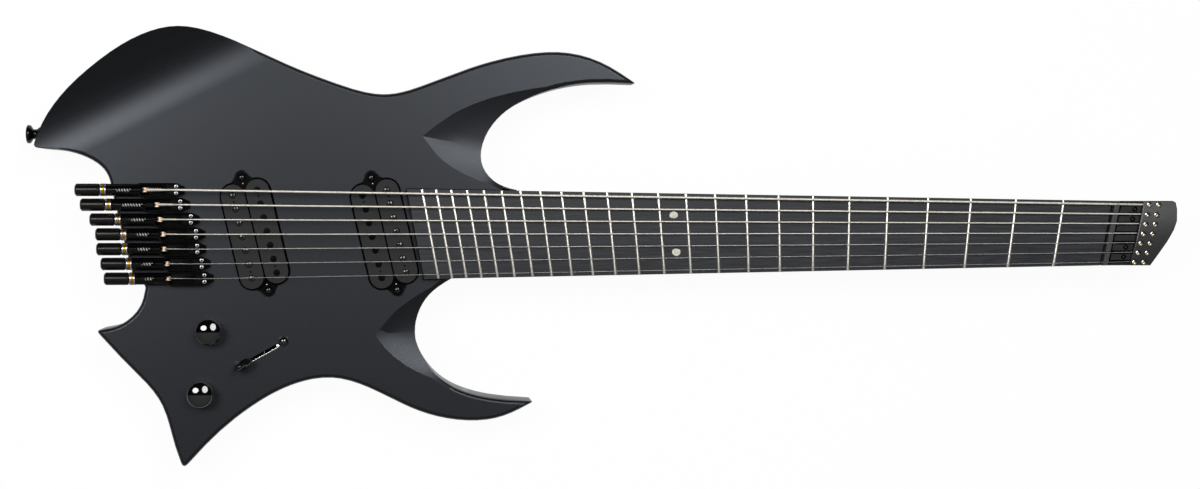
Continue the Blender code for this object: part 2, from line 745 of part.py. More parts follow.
def make_fretboard(wood):
    """The fretboard with its frets standing on it as one solid."""
    rows = [(BOARD_END, 0.0)]
    for fret in range(FRETS, 0, -1):
        centre = 2 ** (-fret / 12)
        foot = FRET_WIDTH / 2 / SCALE_MIDDLE
        crown = FRET_TOP_WIDTH / 2 / SCALE_MIDDLE
        rows += [(centre - foot, 0), (centre - crown, FRET_HEIGHT),
                 (centre + crown, FRET_HEIGHT), (centre + foot, 0)]
    rows.append((1.0, 0.0))
    bevel = FRET_BEVEL / NUT_SPREAD
    offsets = [-BOARD_EDGE, bevel - BOARD_EDGE, -0.25, 0, 0.25, BOARD_EDGE - bevel, BOARD_EDGE]
    rings = []
    for fraction, rise in rows:
        ring = []
        for offset in offsets:
            at = fan_point(offset, fraction)
            lift = rise if abs(offset) < BOARD_EDGE else 0
            ring.append((at.x, at.y, board_height(at.y) + lift))
        for offset in (BOARD_EDGE, -BOARD_EDGE):
            at = fan_point(offset, fraction)
            ring.append((at.x, at.y, BOARD_BASE))
        rings.append(ring)
    return place("fretboard", loft(rings), wood)


def string_heights(number):
    """The height of a string's middle over the saddle and over the nut."""
    radius = string_radius(number)
    saddle = BODY_TOP + SADDLE_TOP + SEAT_GAP + radius
    nut = BOARD_TOP + NUT_STRING_HEIGHT + radius
    return saddle, nut


def make_nut(material):
    """The nut: a slotted bar along the fretboard's slanted end."""
    top = BOARD_TOP + NUT_STRING_HEIGHT + NUT_SLOT_DEPTH
    profile = [(-BOARD_EDGE, BOARD_BASE), (-BOARD_EDGE, top)]
    for number in range(1, STRINGS + 1):
        offset = string_offset(number)
        half = (string_radius(number) + SEAT_GAP) / NUT_SPREAD
        bottom = BOARD_TOP + NUT_STRING_HEIGHT - SEAT_GAP
        profile += [(offset - half, top), (offset - half, bottom),
                    (offset + half, bottom), (offset + half, top)]
    profile += [(BOARD_EDGE, top), (BOARD_EDGE, BOARD_BASE)]
    rings = []
    for distance in (SEAT_GAP, NUT_THICK):
        ring = []
        for offset, height in profile:
            at = fan_point(offset, nut_fraction(distance))
            ring.append((at.x, at.y, height))
        rings.append(ring)
    return place("nut", loft(rings), material)


def clamp_front(offset):
    return fan_point(offset, nut_fraction(NUT_THICK + CLAMP_SETBACK))


def under_clamp(number, reach):
    """A string's place at a distance past the clamp's front."""
    at = clamp_front(string_offset(number))
    return Vector((at.x + reach, at.y, CLAMP_BASE + CLAMP_TUNNEL / 2))


def make_head(block_finish, clamp_finish):
    outline = head_outline(NUT_THICK + SEAT_GAP)
    base = prism(outline, NECK_TOP + SEAT_GAP, DECK_TOP)
    deck = place("head_block", base, block_finish)
    outline = [point for point in outline if point[0] > clamp_front(0).x]
    bass = clamp_front(BOARD_EDGE)
    treble = clamp_front(-BOARD_EDGE)
    half = NUT_SPREAD / 2 + BOARD_SIDE
    outline = [(treble.x, -half)] + outline + [(bass.x, half)]
    clamp = place("string_clamp", prism(outline, CLAMP_BASE, CLAMP_TOP), clamp_finish)
    for number in range(1, STRINGS + 1):
        end = under_clamp(number, STRING_TAIL)
        start = fan_point(string_offset(number), nut_fraction(NUT_THICK))
        half_slot = STRING_SLOT / 2
        slot = box((start.x - DECK_SLOT_START, end.y - half_slot, DECK_TOP - DECK_SLOT_DEPTH),
                   (end.x + 2 * SEAT_GAP, end.y + half_slot, CLAMP_BASE + CLAMP_TUNNEL))
        cutter = helper("string_slot_%d" % number, slot)
        combine(deck, cutter, "DIFFERENCE")
        combine(clamp, cutter, "DIFFERENCE")


def unit_empty(number):
    at = (UNIT_FRONTS[number] * MM, BRIDGE_SPREAD * string_offset(number), BODY_TOP)
    return empty("bridge_unit_%d" % number, at)


def bridge_base_mesh(material):
    """One tuner unit's frame: a channel with a tapered nose, a rear tube and a bearing."""
    half = (STRING_PITCH - UNIT_GAP) / 2
    plan = [(-BASE_LENGTH, -half), (-NOSE_LENGTH, -half), (0, -NOSE_WIDTH / 2),
            (0, NOSE_WIDTH / 2), (-NOSE_LENGTH, half), (-BASE_LENGTH, half)]
    frame = helper("bridge_base_form", prism(plan, SEAT_GAP, BASE_WALL_HEIGHT))
    front = -BASE_LENGTH - TUBE_LENGTH
    back = front - BEARING_LENGTH
    ring = BEARING_LENGTH / 3
    waist = BEARING_RADIUS - BEARING_GROOVE
    profile = [(back, BEARING_RADIUS), (back + ring, BEARING_RADIUS), (back + ring, waist),
               (back + 2 * ring, waist), (back + 2 * ring, BEARING_RADIUS),
               (front, BEARING_RADIUS), (front + BEARING_GROOVE, TUBE_RADIUS),
               (TUBE_OVERLAP - BASE_LENGTH, TUBE_RADIUS)]
    at = Matrix.Translation((0, 0, ROD_HEIGHT))
    combine(frame, helper("tube_form", turned(profile, 14, at @ ALONG_X)), "UNION")
    inner = half - CHANNEL_WALL
    floor = SEAT_GAP + BASE_FLOOR
    channel = box((CHANNEL_WALL - BASE_LENGTH, -inner, floor), (CUT_OVERRUN, inner, CUT_TOP))
    combine(frame, helper("channel_form", channel), "DIFFERENCE")
    over_nose = prism([(-NOSE_LENGTH, floor), (JOIN_OVERLAP, floor - NOSE_DROP),
                       (JOIN_OVERLAP, CUT_TOP), (-NOSE_LENGTH, CUT_TOP)],
                      -STRING_PITCH, STRING_PITCH)
    bmesh.ops.rotate(over_nose, verts=over_nose.verts, matrix=Matrix.Rotation(math.pi / 2, 3, "X"))
    combine(frame, helper("over_nose_form", over_nose), "DIFFERENCE")
    block_bore = CARRIAGE_RADIUS + SEAT_GAP
    rear = -BASE_LENGTH - BLOCK_BORE_LENGTH
    ahead = TUBE_OVERLAP + JOIN_OVERLAP - BASE_LENGTH
    steps = [(back - CUT_OVERRUN, THREAD_RADIUS + THREAD_GAP),
             (rear, THREAD_RADIUS + THREAD_GAP), (rear, block_bore), (ahead, block_bore)]
    combine(frame, helper("bore_form", turned(steps, 14, at @ ALONG_X)), "DIFFERENCE")
    slot = box((rear + JOIN_OVERLAP, -THREAD_SLOT / 2, ROD_HEIGHT),
               (ahead, THREAD_SLOT / 2, CUT_TOP))
    combine(frame, helper("slot_form", slot), "DIFFERENCE")
    mesh = applied_mesh(frame)
    mesh.materials.append(material)
    return mesh


def carriage_mesh(material):
    """The piece that pulls the string: threaded rod, guide block and ball cup."""
    profile = [(-CARRIAGE_ROD, THREAD_RADIUS * 0.7),
               (ROD_TIP - CARRIAGE_ROD, THREAD_RADIUS), (-CARRIAGE_LENGTH, THREAD_RADIUS),
               (-CARRIAGE_LENGTH, CARRIAGE_RADIUS), (CARRIAGE_NOSE, CARRIAGE_RADIUS)]
    form = helper("carriage_form", turned(profile, 12, ALONG_X))
    reach = BALL_RADIUS + SEAT_GAP
    pocket = box((-reach, -reach, -reach), (CUT_OVERRUN, reach, CUT_OVERRUN))
    combine(form, helper("ball_pocket", pocket), "DIFFERENCE")
    mesh = applied_mesh(form)
    mesh.materials.append(material)
    return mesh


def saddle_mesh(material):
    """The saddle block: a ridge for the string between two height screws."""
    half = (STRING_PITCH - UNIT_GAP) / 2 - CHANNEL_WALL - SEAT_GAP
    floor = 2 * SEAT_GAP + BASE_FLOOR
    rear, front = -SADDLE_REAR, SADDLE_FRONT
    form = helper("saddle_form", box((rear, -half, floor), (front, half, SADDLE_SHOULDER)))
    ridge = SADDLE_RIDGE / 2
    foot = floor + JOIN_OVERLAP
    curve = [(rear + JOIN_OVERLAP, SADDLE_SHOULDER - JOIN_OVERLAP)]
    curve += [(reach * MM, SADDLE_TOP + fall * MM) for reach, fall in SADDLE_ARCH]
    curve.append((front - SEAT_GAP, SADDLE_SHOULDER - JOIN_OVERLAP))
    arch = []
    for reach, height in curve:
        arch.append(((reach, -ridge, height), (reach, ridge, height),
                     (reach, ridge, foot), (reach, -ridge, foot)))
    combine(form, helper("saddle_ridge", loft(arch)), "UNION")
    for side in (-1, 1):
        at = Matrix.Translation((0, side * HEIGHT_SCREW_SPACING / 2, 0))
        top = SADDLE_SHOULDER + HEIGHT_SCREW_RISE
        screw = turned([(foot, HEIGHT_SCREW_RADIUS), (top, HEIGHT_SCREW_RADIUS)], 8, at)
        combine(form, helper("height_screw_form", screw), "UNION")
    mesh = applied_mesh(form)
    mesh.materials.append(material)
    return mesh


def tuner_mesh(material):
    """The tuner's thimble, bored for the rod that it pulls."""
    bore = THREAD_RADIUS + THREAD_GAP
    small = TUNER_RADIUS - TUNER_CHAMFER
    outer = [(0, small), (TUNER_CHAMFER, TUNER_RADIUS),
             (TUNER_LENGTH - TUNER_CHAMFER, TUNER_RADIUS), (TUNER_LENGTH, small)]
    to_rear = Matrix.Rotation(math.radians(-90), 4, "Y")
    form = helper("tuner_form", turned(outer, 20, to_rear))
    profile = [(-CUT_OVERRUN, bore), (TUNER_BORE_DEPTH, bore)]
    combine(form, helper("tuner_bore", turned(profile, 12, to_rear)), "DIFFERENCE")
    mesh = applied_mesh(form)
    mesh.materials.append(material)
    return mesh


def make_string(number, material):
    """A string from its ball end over the saddle and nut to the head clamp."""
    offset = string_offset(number)
    radius = string_radius(number)
    over_saddle, over_nut = string_heights(number)
    front = UNIT_FRONTS[number] * MM
    row = BRIDGE_SPREAD * offset
    ball = Vector((front + BALL_PLACES[number] * MM, row, BODY_TOP + ROD_HEIGHT))
    saddle = Vector((front + SADDLE_SHIFTS[number] * MM, row, over_saddle))
    nut = fan_point(offset, nut_fraction(NUT_THICK / 2)).to_3d()
    nut.z = over_nut
    half = BALL_LENGTH / 2
    ahead = Vector((half, 0, 0))
    points = [ball - ahead, ball - ahead * 0.6, ball + ahead * 0.6, ball + ahead, saddle,
              nut, under_clamp(number, -STRING_LEVEL_OFF), under_clamp(number, STRING_TAIL)]
    radii = [BALL_RADIUS * 0.7, BALL_RADIUS, BALL_RADIUS] + [radius] * 5
    wire = tube([tuple(point) for point in points], radii, 7)
    return place("string_%d" % number, wire, material)


def make_bridge(finishes):
    base = bridge_base_mesh(finishes["black metal"])
    carriage = carriage_mesh(finishes["steel"])
    saddle = saddle_mesh(finishes["black metal"])
    tuner = tuner_mesh(finishes["black metal"])
    knob_place = -BASE_LENGTH - TUBE_LENGTH - BEARING_LENGTH - SEAT_GAP
    for number in range(1, STRINGS + 1):
        unit = unit_empty(number)
        place_mesh("bridge_base_%d" % number, base, (0, 0, 0), unit)
        place_mesh("saddle_%d" % number, saddle, (SADDLE_SHIFTS[number] * MM, 0, 0), unit)
        ball = (BALL_PLACES[number] * MM, 0, ROD_HEIGHT)
        place_mesh("string_carriage_%d" % number, carriage, ball, unit)
        place_mesh("tuner_knob_%d" % number, tuner, (knob_place, 0, ROD_HEIGHT), unit)
        make_string(number, finishes["string"])


def rounded_plan(width, length, corner, margin=0.0):
    """A rectangle along Y with round corners, grown by a margin."""
    half_x = width / 2 + margin
    half_y = length / 2 + margin
    radius = corner + margin
    points = []
    for sign_x, sign_y, start in ((1, 1, 0), (-1, 1, 90), (-1, -1, 180), (1, -1, 270)):
        for k in range(6):
            turn = math.radians(start + 18 * k)
            points.append((sign_x * (half_x - radius) + radius * math.cos(turn),
                           sign_y * (half_y - radius) + radius * math.sin(turn)))
    return points


def lug_plan(side, margin=0.0):
    """A pickup's fixing lug: a triangle with a round end over its screw."""
    radius = LUG_RADIUS + margin
    spread = LUG_SPREAD + margin
    inner = PICKUP_LENGTH / 2 - LUG_OVERLAP
    points = [(-spread, inner), (spread, inner)]
    for k in range(7):
        turn = math.radians(15 + 25 * k)
        points.append((radius * math.cos(turn), LUG_SPACING / 2 + radius * math.sin(turn)))
    return [(x, side * y) for x, y in points]


def make_pickup(name, at, screw_way, finishes, body):
    """A humbucker: a base with lugs that carries a slug coil and a screw coil.

    The screw coil lies on the head's side where its way is 1, and on the tail's where it
    is -1.
    """
    frame = empty(name + "_place", (*at, BODY_TOP), PICKUP_SLANT)
    floor = -PICKUP_DEPTH
    top = PICKUP_PROUD - BOBBIN_THICK - SEAT_GAP
    block = prism(rounded_plan(PICKUP_WIDTH, PICKUP_LENGTH, PICKUP_CORNER), floor, top)
    base = place(name + "_base", block, finishes["black plastic"], (0, 0, 0), frame)
    opening = prism(rounded_plan(PICKUP_WIDTH, PICKUP_LENGTH, PICKUP_CORNER, CAVITY_GAP),
                    floor - SEAT_GAP, CUT_OVERRUN)
    combine(body, helper(name + "_cavity", opening, (0, 0, 0), frame), "DIFFERENCE")
    for side in (-1, 1):
        lug = prism(lug_plan(side), top - LUG_THICK, top)
        combine(base, helper("%s_lug_%d" % (name, side), lug, (0, 0, 0), frame), "UNION")
        ear = prism(lug_plan(side, CAVITY_GAP), top - LUG_THICK - SEAT_GAP, CUT_OVERRUN)
        combine(body, helper("%s_ear_%d" % (name, side), ear, (0, 0, 0), frame), "DIFFERENCE")
    shift = (COIL_WIDTH + SEAT_GAP) / 2
    for kind, way in (("slug", -screw_way), ("screw", screw_way)):
        coil = prism(rounded_plan(COIL_WIDTH, PICKUP_LENGTH, COIL_WIDTH / 2 - ROUND_LIMIT),
                     PICKUP_PROUD - BOBBIN_THICK, PICKUP_PROUD)
        place("%s_%s_coil" % (name, kind), coil, finishes["black plastic"],
              (way * shift, 0, 0), frame)


def make_control(name, at, finishes, body):
    """A pot under the face with its shaft and its knob."""
    hole = BUSHING_RADIUS + SEAT_GAP
    drill = turned([(-CAVITY_TOP_WALL - CUT_OVERRUN, hole), (CUT_OVERRUN, hole)], 16)
    combine(body, helper(name + "_hole", drill, (*at, BODY_TOP)), "DIFFERENCE")
    under = CAVITY_ROOF - SEAT_GAP
    bottom = under - POT_HEIGHT
    inner = SHAFT_RADIUS + SEAT_GAP
    can = turned([(bottom, POT_RADIUS), (under, POT_RADIUS), (under, BUSHING_RADIUS),
                  (BODY_TOP - SEAT_GAP, BUSHING_RADIUS)], 16)
    pot = place(name + "_pot", can, finishes["steel"], (*at, 0))
    shaft_foot = bottom + POT_FLOOR
    shaft_top = BODY_TOP + KNOB_RISE + SHAFT_RISE
    well = turned([(shaft_foot - SEAT_GAP, inner), (BODY_TOP + CUT_OVERRUN, inner)], 12)
    combine(pot, helper(name + "_well", well, (*at, 0)), "DIFFERENCE")
    shaft = turned([(shaft_foot, SHAFT_RADIUS), (shaft_top, SHAFT_RADIUS)], 12)
    place(name + "_shaft", shaft, finishes["steel"], (*at, 0))
    foot = BODY_TOP + KNOB_RISE
    dome = turned([(foot + h * KNOB_HEIGHT, r * KNOB_RADIUS) for h, r in KNOB_PROFILE], 24)
    knob = place(name + "_knob", dome, finishes["gloss plastic"], (*at, 0))
    bore = turned([(foot - CUT_OVERRUN, inner), (shaft_top + SEAT_GAP, inner)], 12)
    combine(knob, helper(name + "_knob_bore", bore, (*at, 0)), "DIFFERENCE")


def make_switch(finishes, body):
    """A blade switch: its frame inside the body and the lever through the slot."""
    frame_at = empty("switch_place", (*SWITCH_PLACE, SWITCH_PIVOT_Z), SWITCH_ANGLE)
    roof = CAVITY_ROOF - SWITCH_PIVOT_Z
    face = BODY_TOP - SWITCH_PIVOT_Z
    swing = math.tan(SWITCH_TILT) * face + LEVER_WIDTH / 2 / math.cos(SWITCH_TILT)
    half_slot = swing + 2 * SEAT_GAP
    side = LEVER_THICK / 2 + LEVER_GAP
    slot = box((-half_slot, -side, roof - 2 * CUT_OVERRUN), (half_slot, side, face + CUT_OVERRUN))
    cutter = helper("switch_slot", slot, (0, 0, 0), frame_at)
    combine(body, cutter, "DIFFERENCE")
    half = SWITCH_FRAME_LENGTH / 2
    width = SWITCH_FRAME_WIDTH / 2
    flange = box((-half, -width, roof - SEAT_GAP - FRAME_THICK), (half, width, roof - SEAT_GAP))
    frame = place("switch_frame", flange, finishes["steel"], (0, 0, 0), frame_at)
    combine(frame, cutter, "DIFFERENCE")
    reach = SWITCH_WALL_LENGTH / 2
    wall = box((-reach, -width, -SWITCH_WALL_FOOT),
               (reach, -width + FRAME_THICK, roof - JOIN_OVERLAP))
    combine(frame, helper("switch_wall", wall, (0, 0, 0), frame_at), "UNION")
    sideways = Matrix.Rotation(math.radians(90), 4, "X")
    pin = turned([(-LEVER_THICK, PIVOT_RADIUS), (width - FRAME_THICK / 2, PIVOT_RADIUS)], 12,
                 sideways)
    combine(frame, helper("switch_pin", pin, (0, 0, 0), frame_at), "UNION")
    top = face + LEVER_RISE
    blade = box((-LEVER_WIDTH / 2, -LEVER_THICK / 2, 0), (LEVER_WIDTH / 2, LEVER_THICK / 2, top))
    eye = turned([(-LEVER_THICK / 2, LEVER_EYE), (LEVER_THICK / 2, LEVER_EYE)], 16, sideways)
    tip_rings = []
    for lift, grow in TIP_PROFILE:
        x, y = TIP_WIDTH / 2 * grow, TIP_THICK / 2 * grow
        z = top + lift * MM
        tip_rings.append(((-x, -y, z), (x, -y, z), (x, y, z), (-x, y, z)))
    lever = place("switch_lever", blade, finishes["black plastic"], (0, 0, 0), frame_at)
    lever.rotation_euler.y = -SWITCH_TILT
    for part_name, shape, operation in (
            ("lever_eye", eye, "UNION"), ("lever_tip", loft(tip_rings), "UNION"),
            ("lever_bore", turned([(-CUT_OVERRUN, PIVOT_RADIUS + SEAT_GAP),
                                   (CUT_OVERRUN, PIVOT_RADIUS + SEAT_GAP)], 12, sideways),
             "DIFFERENCE")):
        tool = helper(part_name, shape, (0, 0, 0), frame_at)
        tool.rotation_euler.y = -SWITCH_TILT
        combine(lever, tool, operation)


def grown(points, margin):
    """A plan outline grown by a margin along the lines from its middle."""
    middle = sum((Vector(point) for point in points), Vector((0, 0))) / len(points)
    found = []
    for point in points:
        away = Vector(point) - middle
        found.append(tuple(Vector(point) + away.normalized() * margin))
    return found


def make_cavity_and_cover(finishes, body):
    plan = [on_body(x, y) for x, y in CONTROL_CAVITY]
    hollow = helper("cavity_cutter", prism(plan, -CUT_OVERRUN, CAVITY_ROOF))
    recess_plan = grown(plan, COVER_LEDGE)
    recess_depth = COVER_THICK + 2 * SEAT_GAP
    recess = helper("recess_cutter", prism(recess_plan, -CUT_OVERRUN, recess_depth))
    combine(body, hollow, "DIFFERENCE")
    combine(body, recess, "DIFFERENCE")
    cover = prism(grown(recess_plan, -2 * SEAT_GAP), SEAT_GAP, SEAT_GAP + COVER_THICK)
    place("control_cover", cover, finishes["black plastic"])


def make_jack(finishes, body):
    at = Matrix.Translation((*JACK_PLACE, JACK_HEIGHT))
    flange = JACK_FLANGE_THICK
    shell = turned([(0, JACK_FLANGE_RADIUS), (flange, JACK_FLANGE_RADIUS),
                    (flange, JACK_RADIUS), (JACK_LENGTH, JACK_RADIUS)], 24, at @ ALONG_X)
    jack = place("output_jack", shell, finishes["black metal"])
    bore = turned([(-CUT_OVERRUN, JACK_BORE), (JACK_BORE_DEPTH, JACK_BORE)], 16, at @ ALONG_X)
    combine(jack, helper("jack_bore", bore), "DIFFERENCE")
    hole_radius = JACK_RADIUS + SEAT_GAP
    seat = flange + SEAT_GAP
    around = JACK_FLANGE_RADIUS + SEAT_GAP
    hole = turned([(-JACK_SEAT_REACH, around), (seat, around), (seat, hole_radius),
                   (JACK_LENGTH + JACK_END_ROOM, hole_radius)], 24, at @ ALONG_X)
    combine(body, helper("jack_hole", hole), "DIFFERENCE")


def make_strap_buttons(finishes, body):
    """One button on the rear corner and one on the back of the upper horn."""
    form = [(share * BUTTON_HEIGHT, radius * MM) for share, radius in BUTTON_PROFILE]
    to_rear = Matrix.Rotation(math.radians(-90), 4, "Y")
    place("rear_strap_button", turned(form, 16, to_rear), finishes["black metal"],
          (REAR_BUTTON[0] - SEAT_GAP, REAR_BUTTON[1], REAR_BUTTON_Z))
    seat = turned([(-ROUND_LIMIT, BUTTON_RADIUS), (CUT_TOP, BUTTON_RADIUS)], 16, to_rear)
    combine(body, helper("rear_button_seat", seat, (*REAR_BUTTON, REAR_BUTTON_Z)), "DIFFERENCE")
    x, y = HORN_BUTTON
    surface = (x - BACK_CARVE_START[0]) * math.tan(BACK_CARVE_ANGLE)
    down = Matrix.Rotation(math.radians(180) - BACK_CARVE_ANGLE, 4, "Y")
    place("horn_strap_button", turned(form, 16, down), finishes["black metal"],
          (x, y, surface - SEAT_GAP))


def make_body(finishes):
    body = place("body", body_slab(), finishes["black wood"])
    combine(body, arm_cutter(), "DIFFERENCE")
    combine(body, scoop_cutter("upper_scoop", UPPER_SCOOP), "DIFFERENCE")
    combine(body, scoop_cutter("lower_scoop", LOWER_SCOOP), "DIFFERENCE")
    combine(body, belly_cutter(), "DIFFERENCE")
    combine(body, back_cutter(), "DIFFERENCE")
    pocket_end = BOARD_END - SEAT_GAP / SCALE_MIDDLE
    floor = NECK_TOP - HEEL_DEPTH - SEAT_GAP
    high = BODY_TOP + CUT_TOP
    edge = BOARD_EDGE + SEAT_GAP / NUT_SPREAD
    rings = []
    for fraction in (pocket_end, POCKET_REACH):
        bass = fan_point(edge, fraction)
        treble = fan_point(-edge, fraction)
        rings.append(((treble.x, treble.y, floor), (bass.x, bass.y, floor),
                      (bass.x, bass.y, high), (treble.x, treble.y, high)))
    combine(body, helper("neck_pocket", loft(rings)), "DIFFERENCE")
    return body


def main():
    clear_scene()
    finishes = {
        "black wood": finish("black wood", (0.045, 0.048, 0.052), 0.45),
        "neck wood": finish("neck wood", (0.05, 0.05, 0.052), 0.4),
        "ebony": finish("ebony", (0.03, 0.03, 0.032), 0.5),
        "black metal": finish("black metal", (0.02, 0.02, 0.022), 0.3, 1.0),
        "grey metal": finish("grey metal", (0.08, 0.08, 0.085), 0.35, 1.0),
        "steel": finish("steel", (0.6, 0.59, 0.56), 0.3, 1.0),
        "string": finish("string", (0.7, 0.68, 0.64), 0.3, 1.0),
        "black plastic": finish("black plastic", (0.03, 0.03, 0.03), 0.4),
        "gloss plastic": finish("gloss plastic", (0.01, 0.01, 0.01), 0.1),
    }
    body = make_body(finishes)
    make_neck(finishes["neck wood"])
    low, high = truss_rod_box()
    place("truss_rod", box(low, high), finishes["steel"])
    make_fretboard(finishes["ebony"])
    make_nut(finishes["grey metal"])
    make_head(finishes["black metal"], finishes["grey metal"])
    make_bridge(finishes)
    make_pickup("bridge_pickup", (BRIDGE_PICKUP_X, 0), -1, finishes, body)
    neck_x = fan_point(0, BOARD_END).x - NECK_PICKUP_SETBACK
    make_pickup("neck_pickup", (neck_x, 0), 1, finishes, body)
    make_cavity_and_cover(finishes, body)
    make_control("volume", VOLUME_PLACE, finishes, body)
    make_control("tone", TONE_PLACE, finishes, body)
    make_switch(finishes, body)
    make_jack(finishes, body)
    make_strap_buttons(finishes, body)


main()
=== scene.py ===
"""The looks of a seven-string headless electric guitar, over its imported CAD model.

X runs along the neck towards the head, Y towards the bass side and Z out of the face.
"""

import math

import bmesh
import bpy
from mathutils import Matrix, Vector


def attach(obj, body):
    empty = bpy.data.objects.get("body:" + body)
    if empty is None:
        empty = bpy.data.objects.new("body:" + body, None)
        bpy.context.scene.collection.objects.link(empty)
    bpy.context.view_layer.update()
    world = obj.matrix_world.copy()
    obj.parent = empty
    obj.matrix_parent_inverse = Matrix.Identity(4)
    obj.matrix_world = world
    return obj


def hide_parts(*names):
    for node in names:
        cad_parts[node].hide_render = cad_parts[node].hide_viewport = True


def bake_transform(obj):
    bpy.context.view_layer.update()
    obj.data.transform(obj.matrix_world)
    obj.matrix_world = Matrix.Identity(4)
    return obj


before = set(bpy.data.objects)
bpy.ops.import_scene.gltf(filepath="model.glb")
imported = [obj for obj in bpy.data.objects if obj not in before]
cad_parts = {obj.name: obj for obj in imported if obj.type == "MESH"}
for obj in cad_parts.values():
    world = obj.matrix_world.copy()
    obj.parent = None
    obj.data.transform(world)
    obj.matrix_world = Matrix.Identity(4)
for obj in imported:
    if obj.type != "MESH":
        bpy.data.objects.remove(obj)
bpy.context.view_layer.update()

MM = 0.001
WELD = 1e-6
# How far a cutter stands out past what it cuts
CUT_CLEAR = 2.0 * MM

# Strings and scale, as in the part's source. String 7 is the bass string.
STRINGS = 7
FRETS = 24
SCALE_MIDDLE = 660.4 * MM
SCALE_FAN = 25.4 * MM
STRAIGHT_FRACTION = 2 ** (-7 / 12)
NUT_SPREAD = 42.6 * MM
BRIDGE_SPREAD = 62.0 * MM
GAUGE_TREBLE = 0.254 * MM
GAUGE_BASS = 1.5 * MM
GAUGE_GROWTH = 1.35
PLAIN_STRINGS = 3

# A string's seats over the saddle and the nut, and its way into the clamp, past the nut
SADDLE_SEAT = 0.3 * MM
NUT_SEAT = 1.5 * MM
CLAMP_FRONT = 17.5 * MM
LEVEL_OFF = 3.0 * MM
STRING_TAIL = 15.0 * MM
TUNNEL_HEIGHT = 50.25 * MM

# Half of a ball end's section in millimetres, and the wrap that holds the ball
BALL_HALF = ((-1.75, 0), (-1.75, 1.4), (-1.45, 1.85), (-0.75, 1.85), (-0.4, 1.15))
WRAP_TURNS = 6
WRAP_START = 1.4 * MM
WRAP_REACH = 11.0 * MM
WRAP_SHARE = 0.7
WRAP_THINNEST = 0.22 * MM

# Heights over the floor
BODY_TOP = 42.0 * MM
BOARD_BASE = 44.3 * MM
DECK_TOP = 48.7 * MM
CLAMP_BASE = 49.0 * MM
BOARD_TOP = 50.0 * MM
CLAMP_TOP = 54.6 * MM

# The fretboard: its sides' offset in string spreads, and the share of the scale at its end
BOARD_RADIUS = 508.0 * MM
BOARD_EDGE = 0.55634
BOARD_END = 0.2341
BOARD_STRIPS = 12
FRET_STEPS = 12
FRET_INSET = 0.006
FRET_HALF_WIDTH = 1.15 * MM
FRET_CROWN = 1.1 * MM
FRET_END_SHARE = 0.45
DOT_OFFSET = 0.25
DOT_RADIUS = 3.0 * MM

# The nut, the dark gaps on its two sides (the deck's one a trench painted near black as shade),
# and the deck's slots, also painted near black as shade, and button screws
NUT_THICK = 4.1 * MM
NUT_GAP = 1.3 * MM
DECK_GAP = 2.4 * MM
TRENCH_OFFSET = 0.7
TRENCH_DEPTH = 2.6 * MM
SLOT_WIDTH = 2.3 * MM
SLOT_DEPTH = 3.0 * MM
SLOT_END = 16.5 * MM
DECK_SCREWS = ((681.3, 17.6), (679.5, 10.3), (674.5, -10.3), (672.9, -17.4))

# The clamp's crown across the strings, and how it rises towards its far end
CLAMP_CROWN = 115.0 * MM
CLAMP_RISE = math.tan(math.radians(2.5))
CLAMP_HIGH_END = 711.0 * MM
CLAMP_ROUND = 1.1 * MM
CLAMP_STRIP = 2.2 * MM
# The nearer set screw of each pair, in millimetres, and how far past it the other stands
SET_SCREWS = ((691.2, 20.7), (689.4, 13.4), (688.0, 6.3), (686.2, -0.7), (684.4, -7.7),
              (682.6, -14.6), (680.5, -21.6))
SET_SCREW_STEP = 6.9 * MM
SET_SCREW_SINK = 0.35 * MM

# Tuner units: where each front end lies, and the saddle and ball from it, in millimetres
UNIT_FRONTS = {7: -6.6, 6: -3.0, 5: 3.5, 4: 7.4, 3: 8.0, 2: 10.9, 1: 13.1}
SADDLE_SHIFTS = {7: -5.1, 6: -5.9, 5: -5.1, 4: -5.5, 3: -5.3, 2: -5.2, 1: -5.5}
BALL_PLACES = {7: -26.9, 6: -22.4, 5: -26.8, 4: -28.6, 3: -28.6, 2: -29.5, 1: -31.0}
# Heights over the face, and the knob and its bearing behind the front end
ROD_HEIGHT = 5.2 * MM
SADDLE_TOP = 11.4 * MM
SADDLE_SCREW_TOP = 10.0 * MM
SADDLE_SCREW_REACH = 2.3 * MM
KNOB_FRONT = -57.8 * MM
TUNER_RADIUS = 4.5 * MM
TUNER_LENGTH = 17.0 * MM
KNURL_START = 1.0 * MM
KNURL_END = TUNER_LENGTH - 1.2 * MM
KNURL_ROOT = TUNER_RADIUS - 0.45 * MM
KNURL_RINGS = 20
KNURL_SIDES = 24
BEARING_FRONT = -53.2 * MM
RING_RADIUS = 4.46 * MM
RING_BORE = 3.5 * MM
RING_LIP = 0.25 * MM
# The rings of each bearing: metal, front and width in millimetres
BEARING_RINGS = (("steel", 0.1, 1.4), ("brass", 1.55, 1.15), ("steel", 2.75, 1.4))
# The threaded rod, which starts behind its string's ball
ROD_RADIUS = 1.45 * MM
ROD_LENGTH = 32.0 * MM
ROD_START = -8.1 * MM
# A unit's nose ends just under the floor that its saddle slides on
NOSE_BASE = 0.3 * MM
NOSE_TOP = 1.72 * MM
NOSE_ROUND = 1.1 * MM
# The real thread is finer than this, and is drawn coarser so that it shows
DRAWN_PITCH = 1.9 * MM

# Pickups: place, slant, and which way the coil with screws lies
PICKUP_SLANT = math.radians(13.0)
PICKUPS = {"bridge_pickup": (42.0 * MM, -1), "neck_pickup": (132.8 * MM, 1)}
POLE_SPREAD = BRIDGE_SPREAD * 0.965
COIL_SHIFT = 8.8 * MM
COIL_TOP = 46.0 * MM
COIL_DRILL_REACH = 25.6 * MM
